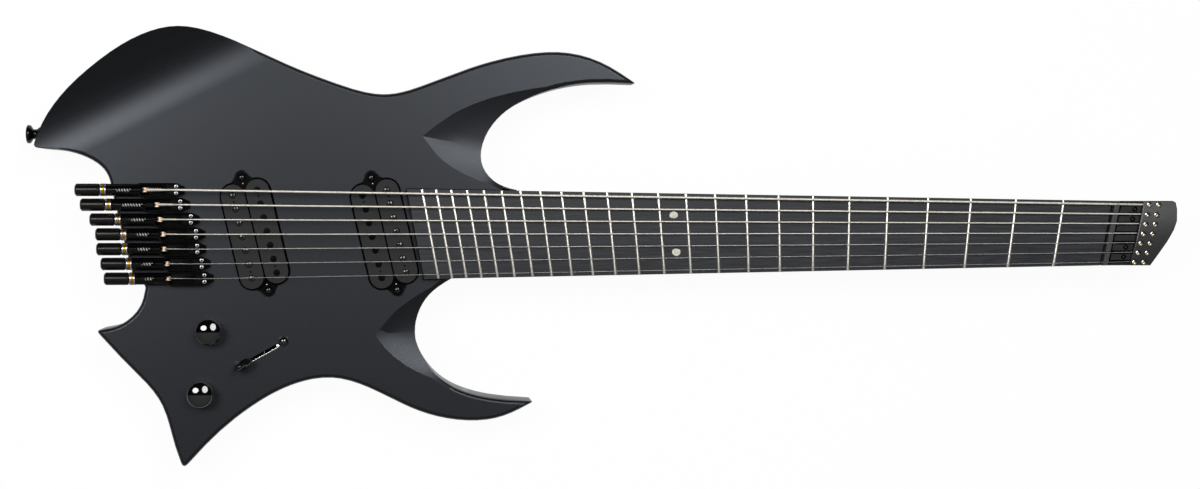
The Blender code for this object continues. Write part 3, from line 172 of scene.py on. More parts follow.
# The bobbins are a little smaller than their solids, which leaves a gap round them where the
# near-black carrier paints the shade as a black line
COIL_SHARES = (0.962, 0.988, 1, 1)
LUG_SCREW_BASE = 40.3 * MM
LUG_SPACING = 81.8 * MM
PIN_REACH = 36.6 * MM
PIN_TOP = 42.4 * MM

# How far the surface falls beside an edge of the face that is kept crisp
RIM_DROP = 1.4 * MM
# The area past which a face counts no more towards the shading round a corner
EVEN_AREA = 30.0 * MM * MM
# The upward share of a normal from which a face is level, or is too level to be carved
LEVEL = 0.99999
CARVED = 0.9999

# The forearm's roll-off, as in the part's source, and the slope at which it runs straight
ARM_RIDGE = Vector((-71.8 * MM, 58.9 * MM))
ARM_ANGLE = math.radians(27.0)
ARM_RADIUS = 78.0 * MM
ARM_REACH = 75.0 * MM
ARM_STEPS = 8
ARM_SLOPE = math.tan(math.radians(26.5))
ARM_STEEPEST = 0.5
# How near the cut surface a point counts as lying on it
ON_SURFACE = 0.03 * MM

# The hollow beside each horn, row by row from the horn's end to the neck: a point of the
# rim on the face and the point of the body's edge below it, in millimetres. The rows run
# on a little past both, to take in the faces at the ends.
HOLLOWS = (
    (((262.0, 106.4), (262.3, 105.6)), ((240.0, 104.0), (244.0, 100.6)),
     ((208.6, 97.0), (218.0, 86.6)), ((182.0, 85.8), (207.0, 73.0)),
     ((156.4, 69.8), (201.8, 62.0)), ((168.0, 57.4), (201.6, 53.0)),
     ((182.9, 46.2), (203.8, 46.6)), ((200.0, 38.0), (208.8, 39.8)),
     ((218.6, 32.4), (219.4, 33.3))),
    (((176.0, -33.6), (176.4, -34.4)), ((158.6, -42.0), (163.0, -44.8)),
     ((142.0, -53.6), (157.2, -54.6)), ((130.3, -63.0), (155.0, -64.5)),
     ((122.6, -69.7), (154.5, -70.0)), ((131.0, -80.0), (156.4, -80.4)),
     ((147.9, -93.8), (162.6, -92.8)), ((164.0, -102.0), (171.0, -102.2)),
     ((181.0, -109.6), (181.4, -108.8))),
)
VALLEY_ROW = 4
# How far the tip of each hollow is drawn along, and how far round it this is felt
TIP_DRAWS = ((3.4 * MM, -0.4 * MM), (3.2 * MM, -1.6 * MM))
TIP_REACH = 26.0 * MM
HOLLOW_MARGIN = 4.5 * MM
HOLLOW_DEPTH = 0.5
HOLLOW_FLOOR = 28.0 * MM
HOLLOW_BLEND = 4.5 * MM
HOLLOW_CRISP = 26.0 * MM
HOLLOW_STEEPEST = 0.6

# Controls
KNOBS = {"volume": (10.0 * MM, -68.5 * MM), "tone": (4.2 * MM, -112.5 * MM)}
KNOB_BASE = 42.8 * MM
KNOB_HEIGHT = 15.0 * MM
KNOB_RADIUS = 9.0 * MM
CAP_TILT = math.radians(24.0)
RIM_ROUND = 2.0 * MM
SWITCH_PLACE = (46.2 * MM, -84.9 * MM)
SWITCH_PIVOT_Z = 21.5 * MM
SWITCH_ANGLE = math.radians(28.5)
SWITCH_TILT = math.radians(24.5)
SWITCH_SCREWS = ((61.8, -76.1), (30.6, -93.6))
BLADE_END = 31.0 * MM
# The tip's section in millimetres from the pivot: it is longer along its slot than across
# it, and its upper part leans back
TIP_SECTION = ((29.4, 0), (29.4, 1.6), (29.7, 2.7), (30.5, 3.5), (31.7, 3.95), (33.0, 4.0),
               (34.6, 3.7), (36.4, 3.2), (38.2, 2.8), (39.8, 2.5), (40.9, 2.05), (41.5, 1.3),
               (41.7, 0))
TIP_LENGTHEN = 1.5
TIP_NARROW = 0.9
TIP_WAIST = 33.0 * MM
TIP_LEAN = 0.9 * MM

# Two windows: centre, width and depth in metres, and watts. Both face the same point.
WINDOWS = {"window_left": ((-0.66, 0.44, 1.75), (0.84, 0.70), 18.5),
           "window_right": ((0.61, 0.57, 1.72), (0.77, 0.98), 18.0)}
WINDOWS_FACE = Vector((0.15, 0.0, 0.04))

# The camera stands where the photograph was taken from.
CAMERA_PLACE = (133.718 * MM, 21.193 * MM, 1500.0 * MM)
CAMERA_TURN = (math.radians(-1.136), math.radians(-5.993), math.radians(0.018))
CAMERA_LENS = 61.25
SENSOR_WIDTH = 36.0

ALONG_X = Matrix.Rotation(math.radians(90), 4, "Y")
TO_REAR = Matrix.Rotation(math.radians(-90), 4, "Y")
ALONG_Y = Matrix.Rotation(math.radians(-90), 4, "X")


def linear(code):
    """A colour written as sRGB hex, turned linear for a shader."""
    levels = [int(code[i:i + 2], 16) / 255 for i in (1, 3, 5)]
    turned = [v / 12.92 if v <= 0.04045 else ((v + 0.055) / 1.055) ** 2.4 for v in levels]
    return (*turned, 1.0)


def add(tree, kind, values=None, links=None):
    """Adds a node with its settings and socket values, fed by the links."""
    made = tree.nodes.new(kind)
    for key, value in (values or {}).items():
        if isinstance(key, str) and hasattr(made, key):
            setattr(made, key, value)
        else:
            made.inputs[key].default_value = value
    for key, source in (links or {}).items():
        tree.links.new(source, made.inputs[key])
    return made


def finish(name, dark, light, grain, rough, metallic=0.0, bump=0.0, stretch=(1, 1, 1),
           detail=3.0, sockets=None):
    """A finish whose colour and gloss drift between two values over a grain in metres."""
    made = bpy.data.materials.new(name)
    made.use_nodes = True
    tree = made.node_tree
    shader = tree.nodes["Principled BSDF"]
    shader.inputs["Metallic"].default_value = metallic
    for key, value in (sockets or {}).items():
        shader.inputs[key].default_value = value
    place = add(tree, "ShaderNodeTexCoord")
    spread = add(tree, "ShaderNodeMapping", {"Scale": stretch},
                 {"Vector": place.outputs["Object"]})
    drift = add(tree, "ShaderNodeTexNoise", {"Scale": 1 / grain, "Detail": detail},
                {"Vector": spread.outputs["Vector"]})
    ramp = add(tree, "ShaderNodeValToRGB", links={"Fac": drift.outputs["Fac"]})
    ramp.name = "tones"
    ramp.color_ramp.elements[0].position = 0.3
    ramp.color_ramp.elements[0].color = linear(dark)
    ramp.color_ramp.elements[1].position = 0.7
    ramp.color_ramp.elements[1].color = linear(light)
    tree.links.new(ramp.outputs["Color"], shader.inputs["Base Color"])
    gloss = add(tree, "ShaderNodeMapRange", {"From Min": 0.3, "From Max": 0.7,
                                             "To Min": rough[0], "To Max": rough[1]},
                {"Value": drift.outputs["Fac"]})
    tree.links.new(gloss.outputs["Result"], shader.inputs["Roughness"])
    if bump:
        relief = add(tree, "ShaderNodeBump", {"Strength": 0.5, "Distance": bump},
                     {"Height": drift.outputs["Fac"]})
        tree.links.new(relief.outputs["Normal"], shader.inputs["Normal"])
    return made


def piece(name, form, material, body="guitar", nodes=(), sharp=35.0, weighted=True):
    """A finished piece made from a bmesh, riding on its body in place of some CAD nodes."""
    bmesh.ops.remove_doubles(form, verts=form.verts, dist=WELD)
    bmesh.ops.recalc_face_normals(form, faces=form.faces)
    mesh = bpy.data.meshes.new(name)
    form.to_mesh(mesh)
    form.free()
    materials = material if isinstance(material, (list, tuple)) else [material]
    for layer in materials:
        mesh.materials.append(layer)
    mesh.shade_smooth()
    mesh.set_sharp_from_angle(angle=math.radians(sharp))
    obj = bpy.data.objects.new(name, mesh)
    bpy.context.scene.collection.objects.link(obj)
    if weighted:
        modifier = obj.modifiers.new("even_shading", "WEIGHTED_NORMAL")
        modifier.keep_sharp = True
    if body:
        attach(obj, body)
    if nodes:
        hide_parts(*nodes)
    return obj


def copy_of(node):
    """A CAD node's form with its loose triangles joined."""
    form = bmesh.new()
    form.from_mesh(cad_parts[node].data)
    bmesh.ops.remove_doubles(form, verts=form.verts, dist=WELD)
    bmesh.ops.dissolve_limit(form, angle_limit=math.radians(0.2), verts=form.verts,
                             edges=form.edges)
    return form


def only(parts, kind):
    """Those of an operator's results that are of one kind."""
    return [part for part in parts if isinstance(part, kind)]


def moved(form, matrix):
    """The form, put in its place by a matrix."""
    bmesh.ops.transform(form, matrix=matrix, verts=form.verts)
    return form


def in_mm(*pairs):
    """Pairs of millimetres, turned to metres."""
    return [(first * MM, second * MM) for first, second in pairs]


def both_sides(place, reach, height):
    """Two places, to either side of another and at a height over it."""
    return [place @ Matrix.Translation((0, side * reach, height)) for side in (-1, 1)]


def softened(form, width, angle=40.0, segments=2):
    """Rounds the edges of a form that are sharper than an angle."""
    edges = []
    for edge in form.edges:
        if len(edge.link_faces) == 2 and edge.calc_face_angle() > math.radians(angle):
            edges.append(edge)
    bmesh.ops.bevel(form, geom=edges, offset=width, segments=segments, profile=0.5,
                    affect="EDGES", clamp_overlap=True, material=-1)
    return form


def bar(low, high, soft=0.0):
    """A block between two corners with its edges rounded."""
    form = bmesh.new()
    size = Vector(high) - Vector(low)
    middle = (Vector(high) + Vector(low)) / 2
    at = Matrix.Translation(middle) @ Matrix.Diagonal((*size, 1))
    bmesh.ops.create_cube(form, size=1, matrix=at)
    return softened(form, soft) if soft else form


def spun(profile, sides=32, at=None):
    """A round form from (height, radius) pairs, turned round Z and put in place."""
    form = bmesh.new()
    line = [form.verts.new((radius, 0, height)) for height, radius in profile]
    edges = [form.edges.new(pair) for pair in zip(line, line[1:])]
    bmesh.ops.spin(form, geom=line + edges, cent=(0, 0, 0), axis=(0, 0, 1),
                   angle=2 * math.pi, steps=sides, use_merge=True)
    bmesh.ops.remove_doubles(form, verts=form.verts, dist=WELD)
    bmesh.ops.holes_fill(form, edges=form.edges)
    bmesh.ops.recalc_face_normals(form, faces=form.faces)
    return form if at is None else moved(form, at)


def raised(points, low, high):
    """A flat outline raised between two heights."""
    form = bmesh.new()
    base = form.faces.new([form.verts.new((x, y, low)) for x, y in points])
    up = bmesh.ops.extrude_face_region(form, geom=[base])["geom"]
    bmesh.ops.translate(form, verts=only(up, bmesh.types.BMVert), vec=(0, 0, high - low))
    bmesh.ops.recalc_face_normals(form, faces=form.faces)
    return form


def swept(stations, sides):
    """A round bar through stations, each a matrix that places a circle of radius one."""
    form = bmesh.new()
    bmesh.ops.create_circle(form, cap_ends=True, segments=sides, radius=1, matrix=stations[0])
    ring = form.edges[:]
    for before, after in zip(stations, stations[1:]):
        made = bmesh.ops.extrude_edge_only(form, edges=ring)["geom"]
        verts = only(made, bmesh.types.BMVert)
        ring = [edge for edge in only(made, bmesh.types.BMEdge)
                if all(vert in verts for vert in edge.verts)]
        bmesh.ops.transform(form, matrix=after @ before.inverted(), verts=verts)
    bmesh.ops.holes_fill(form, edges=ring)
    return form


def station(point, along, radius, height=None):
    """The place of a circle across a path, upright, with its two half widths."""
    along = Vector(along).normalized()
    side = along.cross(Vector((0, 0, 1))).normalized()
    up = side.cross(along)
    turn = Matrix((side, up, along)).transposed().to_4x4()
    size = Matrix.Diagonal((radius, radius if height is None else height, radius, 1))
    return Matrix.Translation(point) @ turn @ size


def cut(form, cutter):
    """The first form with the second taken out of it."""
    pair = []
    for part in (form, cutter):
        bmesh.ops.recalc_face_normals(part, faces=part.faces)
        mesh = bpy.data.meshes.new("cutting")
        part.to_mesh(mesh)
        part.free()
        obj = bpy.data.objects.new("cutting", mesh)
        bpy.context.scene.collection.objects.link(obj)
        pair.append(obj)
    work, tool = pair
    modifier = work.modifiers.new("cut", "BOOLEAN")
    modifier.operation = "DIFFERENCE"
    modifier.object = tool
    bpy.context.view_layer.update()
    graph = bpy.context.evaluated_depsgraph_get()
    found = bmesh.new()
    found.from_object(work, graph)
    for obj in pair:
        mesh = obj.data
        bpy.data.objects.remove(obj)
        bpy.data.meshes.remove(mesh)
    return found


def repeated(form, places):
    """One form that holds a copy of another at each of many places."""
    pattern = bpy.data.meshes.new("pattern")
    form.to_mesh(pattern)
    form.free()
    found = bmesh.new()
    for place in places:
        before = len(found.verts)
        found.from_mesh(pattern)
        found.verts.ensure_lookup_table()
        bmesh.ops.transform(found, matrix=place, verts=found.verts[before:])
    bpy.data.meshes.remove(pattern)
    return found


def joined(*forms):
    """Several forms as one."""
    found = bmesh.new()
    for form in forms:
        mesh = bpy.data.meshes.new("joining")
        form.to_mesh(mesh)
        form.free()
        found.from_mesh(mesh)
        bpy.data.meshes.remove(mesh)
    return found


def fan_point(offset, fraction):
    """Where a line across the strings, at a share of the scale, meets an offset."""
    x = STRAIGHT_FRACTION * SCALE_MIDDLE
    x += (SCALE_MIDDLE + SCALE_FAN * offset) * (fraction - STRAIGHT_FRACTION)
    spread = BRIDGE_SPREAD + (NUT_SPREAD - BRIDGE_SPREAD) * fraction
    return Vector((x, offset * spread))


def string_offset(number):
    return (number - (STRINGS + 1) / 2) / (STRINGS - 1)


def string_radius(number):
    share = (number - 1) / (STRINGS - 1)
    return (GAUGE_TREBLE + (GAUGE_BASS - GAUGE_TREBLE) * share**GAUGE_GROWTH) / 2


def board_height(y):
    return BOARD_TOP - y**2 / (2 * BOARD_RADIUS)


def unit_place(number):
    """The front end of a tuner unit, on the body's face."""
    row = BRIDGE_SPREAD * string_offset(number)
    return Matrix.Translation((UNIT_FRONTS[number] * MM, row, BODY_TOP))


# Satin polyurethane over a black stain: an even charcoal with a fine sprayed speckle,
# which spreads lights into wide soft bands.
satin_polyurethane = finish("satin_polyurethane", "#0b0c0e", "#0f1012", 1.2 * MM, (0.33, 0.38),
                            bump=0.006 * MM, detail=2.0,
                            sockets={"Specular IOR Level": 0.43,
                                     "Specular Tint": linear("#e4ebf6")})
# The same lacquer rubbed thinner on the neck, a little glossier where the hand runs.
rubbed_lacquer = finish("rubbed_lacquer", "#161719", "#1c1d20", 2.0 * MM, (0.34, 0.4),
                        bump=0.004 * MM, stretch=(0.2, 1, 1),
                        sockets={"Specular IOR Level": 0.36})
# Ebony, planed and oiled: near black with short paler pores along the grain.
oiled_ebony = finish("oiled_ebony", "#16171a", "#34363a", 0.9 * MM, (0.44, 0.58),
                     bump=0.03 * MM, stretch=(0.05, 1, 1), detail=5.0,
                     sockets={"Specular IOR Level": 0.25})
# Nickel silver fret wire, polished along its crown: warm white metal with faint rubs.
nickel_silver = finish("nickel_silver", "#d3d0c8", "#e9e6de", 1.5 * MM, (0.34, 0.42), 1.0,
                       bump=0.002 * MM)
# Mother of pearl: pale and cloudy, with a slow drift between cream and grey green.
pearl = finish("pearl", "#aeb0a8", "#ded9cb", 1.8 * MM, (0.2, 0.3), detail=4.0,
               sockets={"Coat Weight": 0.4, "Coat Roughness": 0.1})
# Graphite-filled nylon of the nut: blue grey, matt, with a moulded skin.
graphite_nylon = finish("graphite_nylon", "#2b2d31", "#3a3d42", 0.8 * MM, (0.5, 0.62),
                        bump=0.01 * MM)
# Black-plated brass of the tuner units: deep black with a slick of gloss on each edge.
black_plating = finish("black_plating", "#030304", "#070708", 1.6 * MM, (0.24, 0.34),
                       sockets={"Specular IOR Level": 0.03, "Coat Weight": 0.5,
                                "Coat Roughness": 0.07})
# The same black plating over a knurl, a little worn on its points.
knurled_plating = finish("knurled_plating", "#100f0e", "#191816", 0.9 * MM, (0.2, 0.28), 0.5)
# Black anodised aluminium of the head's deck: brushed along the strings.
black_anodised = finish("black_anodised", "#121315", "#1b1c1f", 0.5 * MM, (0.36, 0.5), 0.3,
                        bump=0.008 * MM, stretch=(0.06, 1, 1))
# Grey anodised aluminium of the string clamp: bead blasted, so it shades softly.
blasted_anodised = finish("blasted_anodised", "#0f1011", "#151618", 0.5 * MM, (0.3, 0.36),
                          bump=0.006 * MM, sockets={"Specular IOR Level": 0.8})
# Nickel-plated set screws: bright, with a warm cast.
nickel_plating = finish("nickel_plating", "#d8cdb8", "#efe6d6", 0.8 * MM, (0.14, 0.24), 1.0)
# Stainless steel of the thrust rings and the switch: cool and turned.
turned_steel = finish("turned_steel", "#b9babb", "#d9dadb", 0.4 * MM, (0.18, 0.32), 1.0,
                      bump=0.004 * MM)
# Steel height screws under a grey phosphate skin.
dulled_steel = finish("dulled_steel", "#77797b", "#a3a5a8", 0.7 * MM, (0.24, 0.36), 1.0)
# The rods' thread crests: pale, and scattering more than polished steel, a painted highlight
# that shows them as bright dots over the rods' black core.
thread_painted_highlight = finish("thread_painted_highlight", "#c9c6c0", "#efece6", 0.4 * MM, (0.3, 0.4), 0.3)
# Brass thrust washers: deep yellow between two steel rings.
bare_brass = finish("bare_brass", "#c98f1e", "#e0ab3a", 0.8 * MM, (0.22, 0.34), 1.0)
# Brass ball ends of the strings, tarnished to copper where the loop rubs.
tarnished_brass = finish("tarnished_brass", "#d8a882", "#fff2de", 1.0 * MM, (0.3, 0.4), 0.5)
# Plain spring steel of the treble strings: bright and hard.
plain_steel = finish("plain_steel", "#b4b1ab", "#d2cfc8", 3.0 * MM, (0.42, 0.5), 0.8)
# Moulded ABS of the pickup bobbins: dark charcoal with a soft moulded grain.
moulded_abs = finish("moulded_abs", "#161718", "#1d1e20", 0.7 * MM, (0.42, 0.5),
                     bump=0.01 * MM, sockets={"Specular IOR Level": 0.2})
# Black fibre and lacquered steel of the pickup's carrier, sunk below the face and painted near
# black:
# it is painted shade, a black line round both bobbins where the gap lies in shadow. The same
# near black paints the shade in the deck's trench and slots, and is the own black of the slug
# poles and the deck's button screws.
black_and_painted_shade = finish("black_and_painted_shade", "#020202", "#040404", 0.8 * MM, (0.3, 0.4),
                           sockets={"Specular IOR Level": 0.04})
# Black oxide on steel screws and slugs: almost black, glinting on its rims.
black_oxide = finish("black_oxide", "#030303", "#080809", 0.5 * MM, (0.2, 0.3),
                     sockets={"Specular IOR Level": 0.25, "Coat Weight": 0.8,
                              "Coat Roughness": 0.09})
# Gloss black plating of the switch's dome screws: each window shows in it as a point.
gloss_plating = finish("gloss_plating", "#030303", "#060606", 0.5 * MM, (0.06, 0.1),
                       sockets={"Coat Weight": 1.0, "Coat Roughness": 0.04})
# Polished black acrylic of the control knobs: mirror gloss over deep black.
polished_acrylic = finish("polished_acrylic", "#020202", "#040404", 6.0 * MM, (0.05, 0.08),
                          sockets={"Coat Weight": 1.0, "Coat Roughness": 0.03})
# Moulded black nylon of the switch tip: black, with a soft sheen.
moulded_nylon = finish("moulded_nylon", "#030303", "#060606", 0.8 * MM, (0.3, 0.4),
                       sockets={"Specular IOR Level": 0.2, "Coat Weight": 0.5,
                                "Coat Roughness": 0.1})
# Spark-eroded black ABS of the control cover: an even, matt grain.
grained_abs = finish("grained_abs", "#141415", "#1d1d1f", 0.5 * MM, (0.5, 0.64),
                     bump=0.03 * MM)


def ribbed(made, pitch):
    """A string's finish with the ribs of its wrap, which run across it."""
    tree = made.node_tree
    shader = tree.nodes["Principled BSDF"]
    place = add(tree, "ShaderNodeTexCoord")
    ribs = add(tree, "ShaderNodeTexWave", {"bands_direction": "X",
                                           "Scale": 2 * math.pi / (20 * pitch)},
               {"Vector": place.outputs["Object"]})
    relief = add(tree, "ShaderNodeBump", {"Strength": 0.35, "Distance": 0.05 * MM},
                 {"Height": ribs.outputs["Fac"]})
    tree.links.new(relief.outputs["Normal"], shader.inputs["Normal"])
    return made


# Nickel-plated wrap wire on a steel core: soft grey with fine ribs. The real wraps lie
# 0.3 mm apart, too fine to show, so the ribs are drawn as coarse as they need to show.
wound_nickel = ribbed(finish("wound_nickel", "#d6d0c4", "#efeae0", 2.0 * MM, (0.46, 0.56), 0.6),
                      0.9 * MM)


def arm_heights():
    """The forearm's steps away from its ridge: reach, height as cut, and height wanted."""
    rows = [(0.0, BODY_TOP, BODY_TOP)]
    for k in range(1, ARM_STEPS + 1):
        reach = ARM_REACH * k / ARM_STEPS
        fall = rows[-1][1] - (BODY_TOP - ARM_RADIUS + math.sqrt(ARM_RADIUS**2 - reach**2))
        wanted = rows[-1][2] - min(fall, ARM_SLOPE * ARM_REACH / ARM_STEPS)
        rows.append((reach, rows[-1][1] - fall, wanted))
    return rows


def eased_arm(form):
    """Lets the forearm run straight where its roll-off would turn too steep."""
    rows = arm_heights()
    for vert in form.verts:
        away = arm_reach(vert.co)
        for (start, cut_in, wanted_in), (end, cut_out, wanted_out) in zip(rows, rows[1:]):
            if start < away <= end:
                share = (away - start) / (end - start)
                if abs(vert.co.z - cut_in - (cut_out - cut_in) * share) < ON_SURFACE:
                    vert.co.z = wanted_in + (wanted_out - wanted_in) * share
    return form


def arm_reach(point):
    """How far out from the forearm's ridge a point lies."""
    return (point.xy - ARM_RIDGE).dot(Vector((-math.sin(ARM_ANGLE), math.cos(ARM_ANGLE))))


def arm_normal(point):
    """The way the forearm faces at a point, which turns evenly from step to step."""
    rows = arm_heights()
    falls = [(start[2] - end[2]) / (end[0] - start[0]) for start, end in zip(rows, rows[1:])]
    slopes = [0.0] + [(low + high) / 2 for low, high in zip(falls, falls[1:])] + [falls[-1]]
    place = min(max(arm_reach(point) / ARM_REACH, 0.0), 1.0) * ARM_STEPS
    k = min(int(place), ARM_STEPS - 1)
    slope = slopes[k] + (slopes[k + 1] - slopes[k]) * (place - k)
    return Vector((-math.sin(ARM_ANGLE) * slope, math.cos(ARM_ANGLE) * slope, 1)).normalized()


def hollow_plan(rows):
    """The ground that a hollow covers, seen from above."""
    near = []
    far = []
    for rim, foot in rows:
        rim, foot = Vector(rim) * MM, Vector(foot) * MM
        along = (foot - rim).normalized()
        near.append(rim - along * HOLLOW_MARGIN)
        far.append(foot + along * HOLLOW_MARGIN)
    return near + far[::-1]


def within(point, plan):
    """Whether a point lies inside a closed plan."""
    found = False
    for a, b in zip(plan, plan[1:] + plan[:1]):
        if (a.y > point.y) != (b.y > point.y):
            if point.x < a.x + (b.x - a.x) * (point.y - a.y) / (b.y - a.y):
                found = not found
    return found


def hollow_tip(rows):
    """The end of a hollow's valley, on the rim of the face."""
    return Vector(rows[VALLEY_ROW][0]) * MM


def gentler_hollows(form):
    """Makes the hollows shallower, so that their neck sides face the light."""
    for rows in HOLLOWS:
        plan = hollow_plan(rows)
        for vert in form.verts:
            if HOLLOW_FLOOR < vert.co.z < BODY_TOP and within(vert.co, plan):
                vert.co.z = BODY_TOP - (BODY_TOP - vert.co.z) * HOLLOW_DEPTH
    return form


def hollow_field(mesh, rows):
    """A hollow's faces, each with its middle, its area times its normal, and its side."""
    plan = hollow_plan(rows)
    tip = hollow_tip(rows)
    foot = Vector(rows[VALLEY_ROW][1]) * MM
    across = Vector((tip.y - foot.y, foot.x - tip.x))
    found = {}
    for face in mesh.polygons:
        if HOLLOW_STEEPEST < face.normal.z < CARVED and face.center.z > HOLLOW_FLOOR:
            if within(face.center, plan):
                side = (face.center.xy - tip).dot(across) > 0
                found[face.index] = (face.center.copy(), face.normal * face.area, side)
    return found


def hollow_normal(point, side, field, tip):
    """The mean way that the faces round a point look, crisp across the valley at its tip."""
    mix = min((point.xy - tip).length / HOLLOW_CRISP, 1.0) ** 2
    total = Vector()
    for middle, normal, other in field.values():
        weight = math.exp(-(middle - point).length_squared / (2 * HOLLOW_BLEND**2))
        total += normal * (weight if other == side else weight * mix)
    return total.normalized()


def drawn_tips(form):
    """Draws the pointed end of each hollow a little towards the horn."""
    for rows, (along, across) in zip(HOLLOWS, TIP_DRAWS):
        for vert in form.verts:
            away = (vert.co.xy - hollow_tip(rows)).length / TIP_REACH
            if away < 1 and vert.co.z > BODY_TOP / 2:
                share = (1 - away**2) ** 2
                vert.co.x += along * share
                vert.co.y += across * share
    return form


def crease_rims(mesh):
    """Keeps the face's edge crisp wherever the surface beside it falls away."""
    lowest = {}
    for face in mesh.polygons:
        bottom = min(mesh.vertices[i].co.z for i in face.vertices)
        for key in face.edge_keys:
            lowest[key] = min(lowest.get(key, bottom), bottom)
    for edge in mesh.edges:
        level = all(abs(mesh.vertices[i].co.z - BODY_TOP) < WELD for i in edge.vertices)
        if level and lowest[edge.key] < BODY_TOP - RIM_DROP:
            edge.use_edge_sharp = True


def shade_carving(mesh):
    """Keeps level faces level, and turns the steps of a curve evenly into each other."""
    fans = [tuple(round(value, 4) for value in corner.vector) for corner in mesh.corner_normals]
    level = {}
    turning = {}
    set_out = {}
    along = Vector((math.cos(ARM_ANGLE), math.sin(ARM_ANGLE), 0))
    for rows in HOLLOWS:
        field = hollow_field(mesh, rows)
        for index, (_, _, side) in field.items():
            for loop in mesh.polygons[index].loop_indices:
                at = mesh.vertices[mesh.loops[loop].vertex_index].co
                set_out[loop] = hollow_normal(at, side, field, hollow_tip(rows))
    for face in mesh.polygons:
        loops = list(face.loop_indices)
        rolled = ARM_STEEPEST < face.normal.z < CARVED and abs(face.normal.dot(along)) < 0.01
        if rolled and arm_reach(face.center) > 0 and face.center.y > 0:
            for loop in loops:
                set_out[loop] = arm_normal(mesh.vertices[mesh.loops[loop].vertex_index].co)
        for k, loop in enumerate(loops):
            key = (mesh.loops[loop].vertex_index, fans[loop])
            if abs(face.normal.z) > LEVEL:
                level[key] = face.normal.copy()
                continue
            here, last, ahead = (mesh.vertices[mesh.loops[i].vertex_index].co
                                 for i in (loop, loops[k - 1], loops[(k + 1) % len(loops)]))
            opening = (last - here).angle(ahead - here, 0.0)
            weight = opening * min(face.area, EVEN_AREA)
            turning[key] = turning.get(key, Vector()) + face.normal * weight
    normals = []
    for loop, fan in enumerate(fans):
        key = (mesh.loops[loop].vertex_index, fan)
        if loop in set_out:
            normals.append(set_out[loop])
        else:
            normals.append(level[key] if key in level else turning[key].normalized())
    mesh.normals_split_custom_set(normals)


def make_body():
    """The lacquered body and neck, which keep their CAD forms but for an easier carving."""
    carved = drawn_tips(gentler_hollows(eased_arm(copy_of("body"))))
    shell = piece("body_shell", carved, satin_polyurethane, nodes=["body"],
                  sharp=50, weighted=False)
    crease_rims(shell.data)
    shade_carving(shell.data)
    piece("neck_shaft", copy_of("neck"), rubbed_lacquer, nodes=["neck"],
          sharp=40)


def make_fretboard():
    """The radiused board, its frets, and the two dots at the twelfth."""
    form = bmesh.new()
    bmesh.ops.create_cube(form, size=1)
    across = [edge for edge in form.edges if abs(edge.verts[0].co.y - edge.verts[1].co.y) > 0.5]
    bmesh.ops.subdivide_edges(form, edges=across, cuts=BOARD_STRIPS - 1, use_grid_fill=True)
    length = 1 - NUT_GAP / SCALE_MIDDLE - BOARD_END
    for vert in form.verts:
        share = vert.co.x + 0.5
        at = fan_point(vert.co.y * 2 * BOARD_EDGE, BOARD_END + share * length)
        height = board_height(at.y) if vert.co.z > 0 else BOARD_BASE
        vert.co = (at.x, at.y, height)
    softened(form, 0.4 * MM, 50)
    piece("radiused_board", form, oiled_ebony, nodes=["fretboard"], sharp=30)
    wires = [fret_wire(2 ** (-fret / 12)) for fret in range(1, FRETS + 1)]
    piece("fret_wires", joined(*wires), nickel_silver)
    fraction = (2 ** (-11 / 12) + 2 ** (-12 / 12)) / 2
    seats = []
    for offset in (-DOT_OFFSET, DOT_OFFSET):
        at = fan_point(offset, fraction)
        seats.append(Matrix.Translation((at.x, at.y, board_height(at.y))))
    disc = spun([(-0.8 * MM, 0), (-0.8 * MM, DOT_RADIUS), (0.02 * MM, DOT_RADIUS),
                 (0.06 * MM, DOT_RADIUS / 2), (0.07 * MM, 0)], 32)
    piece("fret_markers", repeated(disc, seats), pearl)


def fret_wire(fraction):
    """A fret's round crown, bent to the board's radius and filed lower at its ends."""
    stations = []
    for k in range(FRET_STEPS + 1):
        share = 2 * k / FRET_STEPS - 1
        at = fan_point(share * (BOARD_EDGE - FRET_INSET), fraction)
        ahead = fan_point(share + 0.01, fraction) - fan_point(share, fraction)
        crown = FRET_CROWN * (FRET_END_SHARE if abs(share) == 1 else 1.0)
        middle = (at.x, at.y, board_height(at.y))
        stations.append(station(middle, (ahead.x, ahead.y, 0), FRET_HALF_WIDTH, crown))
    return swept(stations, 12)


def make_head():
    """The nut, the deck behind it, the string clamp, and their screws."""
    piece("string_nut", softened(copy_of("nut"), 0.2 * MM), graphite_nylon, nodes=["nut"])
    piece("head_deck", slotted_deck(), [black_anodised, black_and_painted_shade],
          nodes=["head_block"])
    seats = []
    for x, y in in_mm(*SET_SCREWS):
        for along in (x, x + SET_SCREW_STEP):
            seats.append(Matrix.Translation((along, y, clamp_height(along, y))))
    bore = spun(in_mm((-1.6, 0), (-1.6, 2.05), (2, 2.05), (2, 0)), 24)
    block = piece("clamp_block", cut(crowned_clamp(), repeated(bore, seats)), blasted_anodised,
                  nodes=["string_clamp"], weighted=False)
    shade_crown(block.data)
    sunk = [seat @ Matrix.Translation((0, 0, -SET_SCREW_SINK)) for seat in seats]
    piece("clamp_screws", repeated(socket_screw(1.7 * MM, 0.8 * MM, 1.6 * MM, 0.9 * MM), sunk),
          nickel_plating)
    buttons = [Matrix.Translation((x, y, DECK_TOP + 0.5 * MM)) for x, y in in_mm(*DECK_SCREWS)]
    screw = socket_screw(2.0 * MM, 0.95 * MM, 1.2 * MM, 0.8 * MM)
    piece("deck_screws", repeated(screw, buttons), black_and_painted_shade)


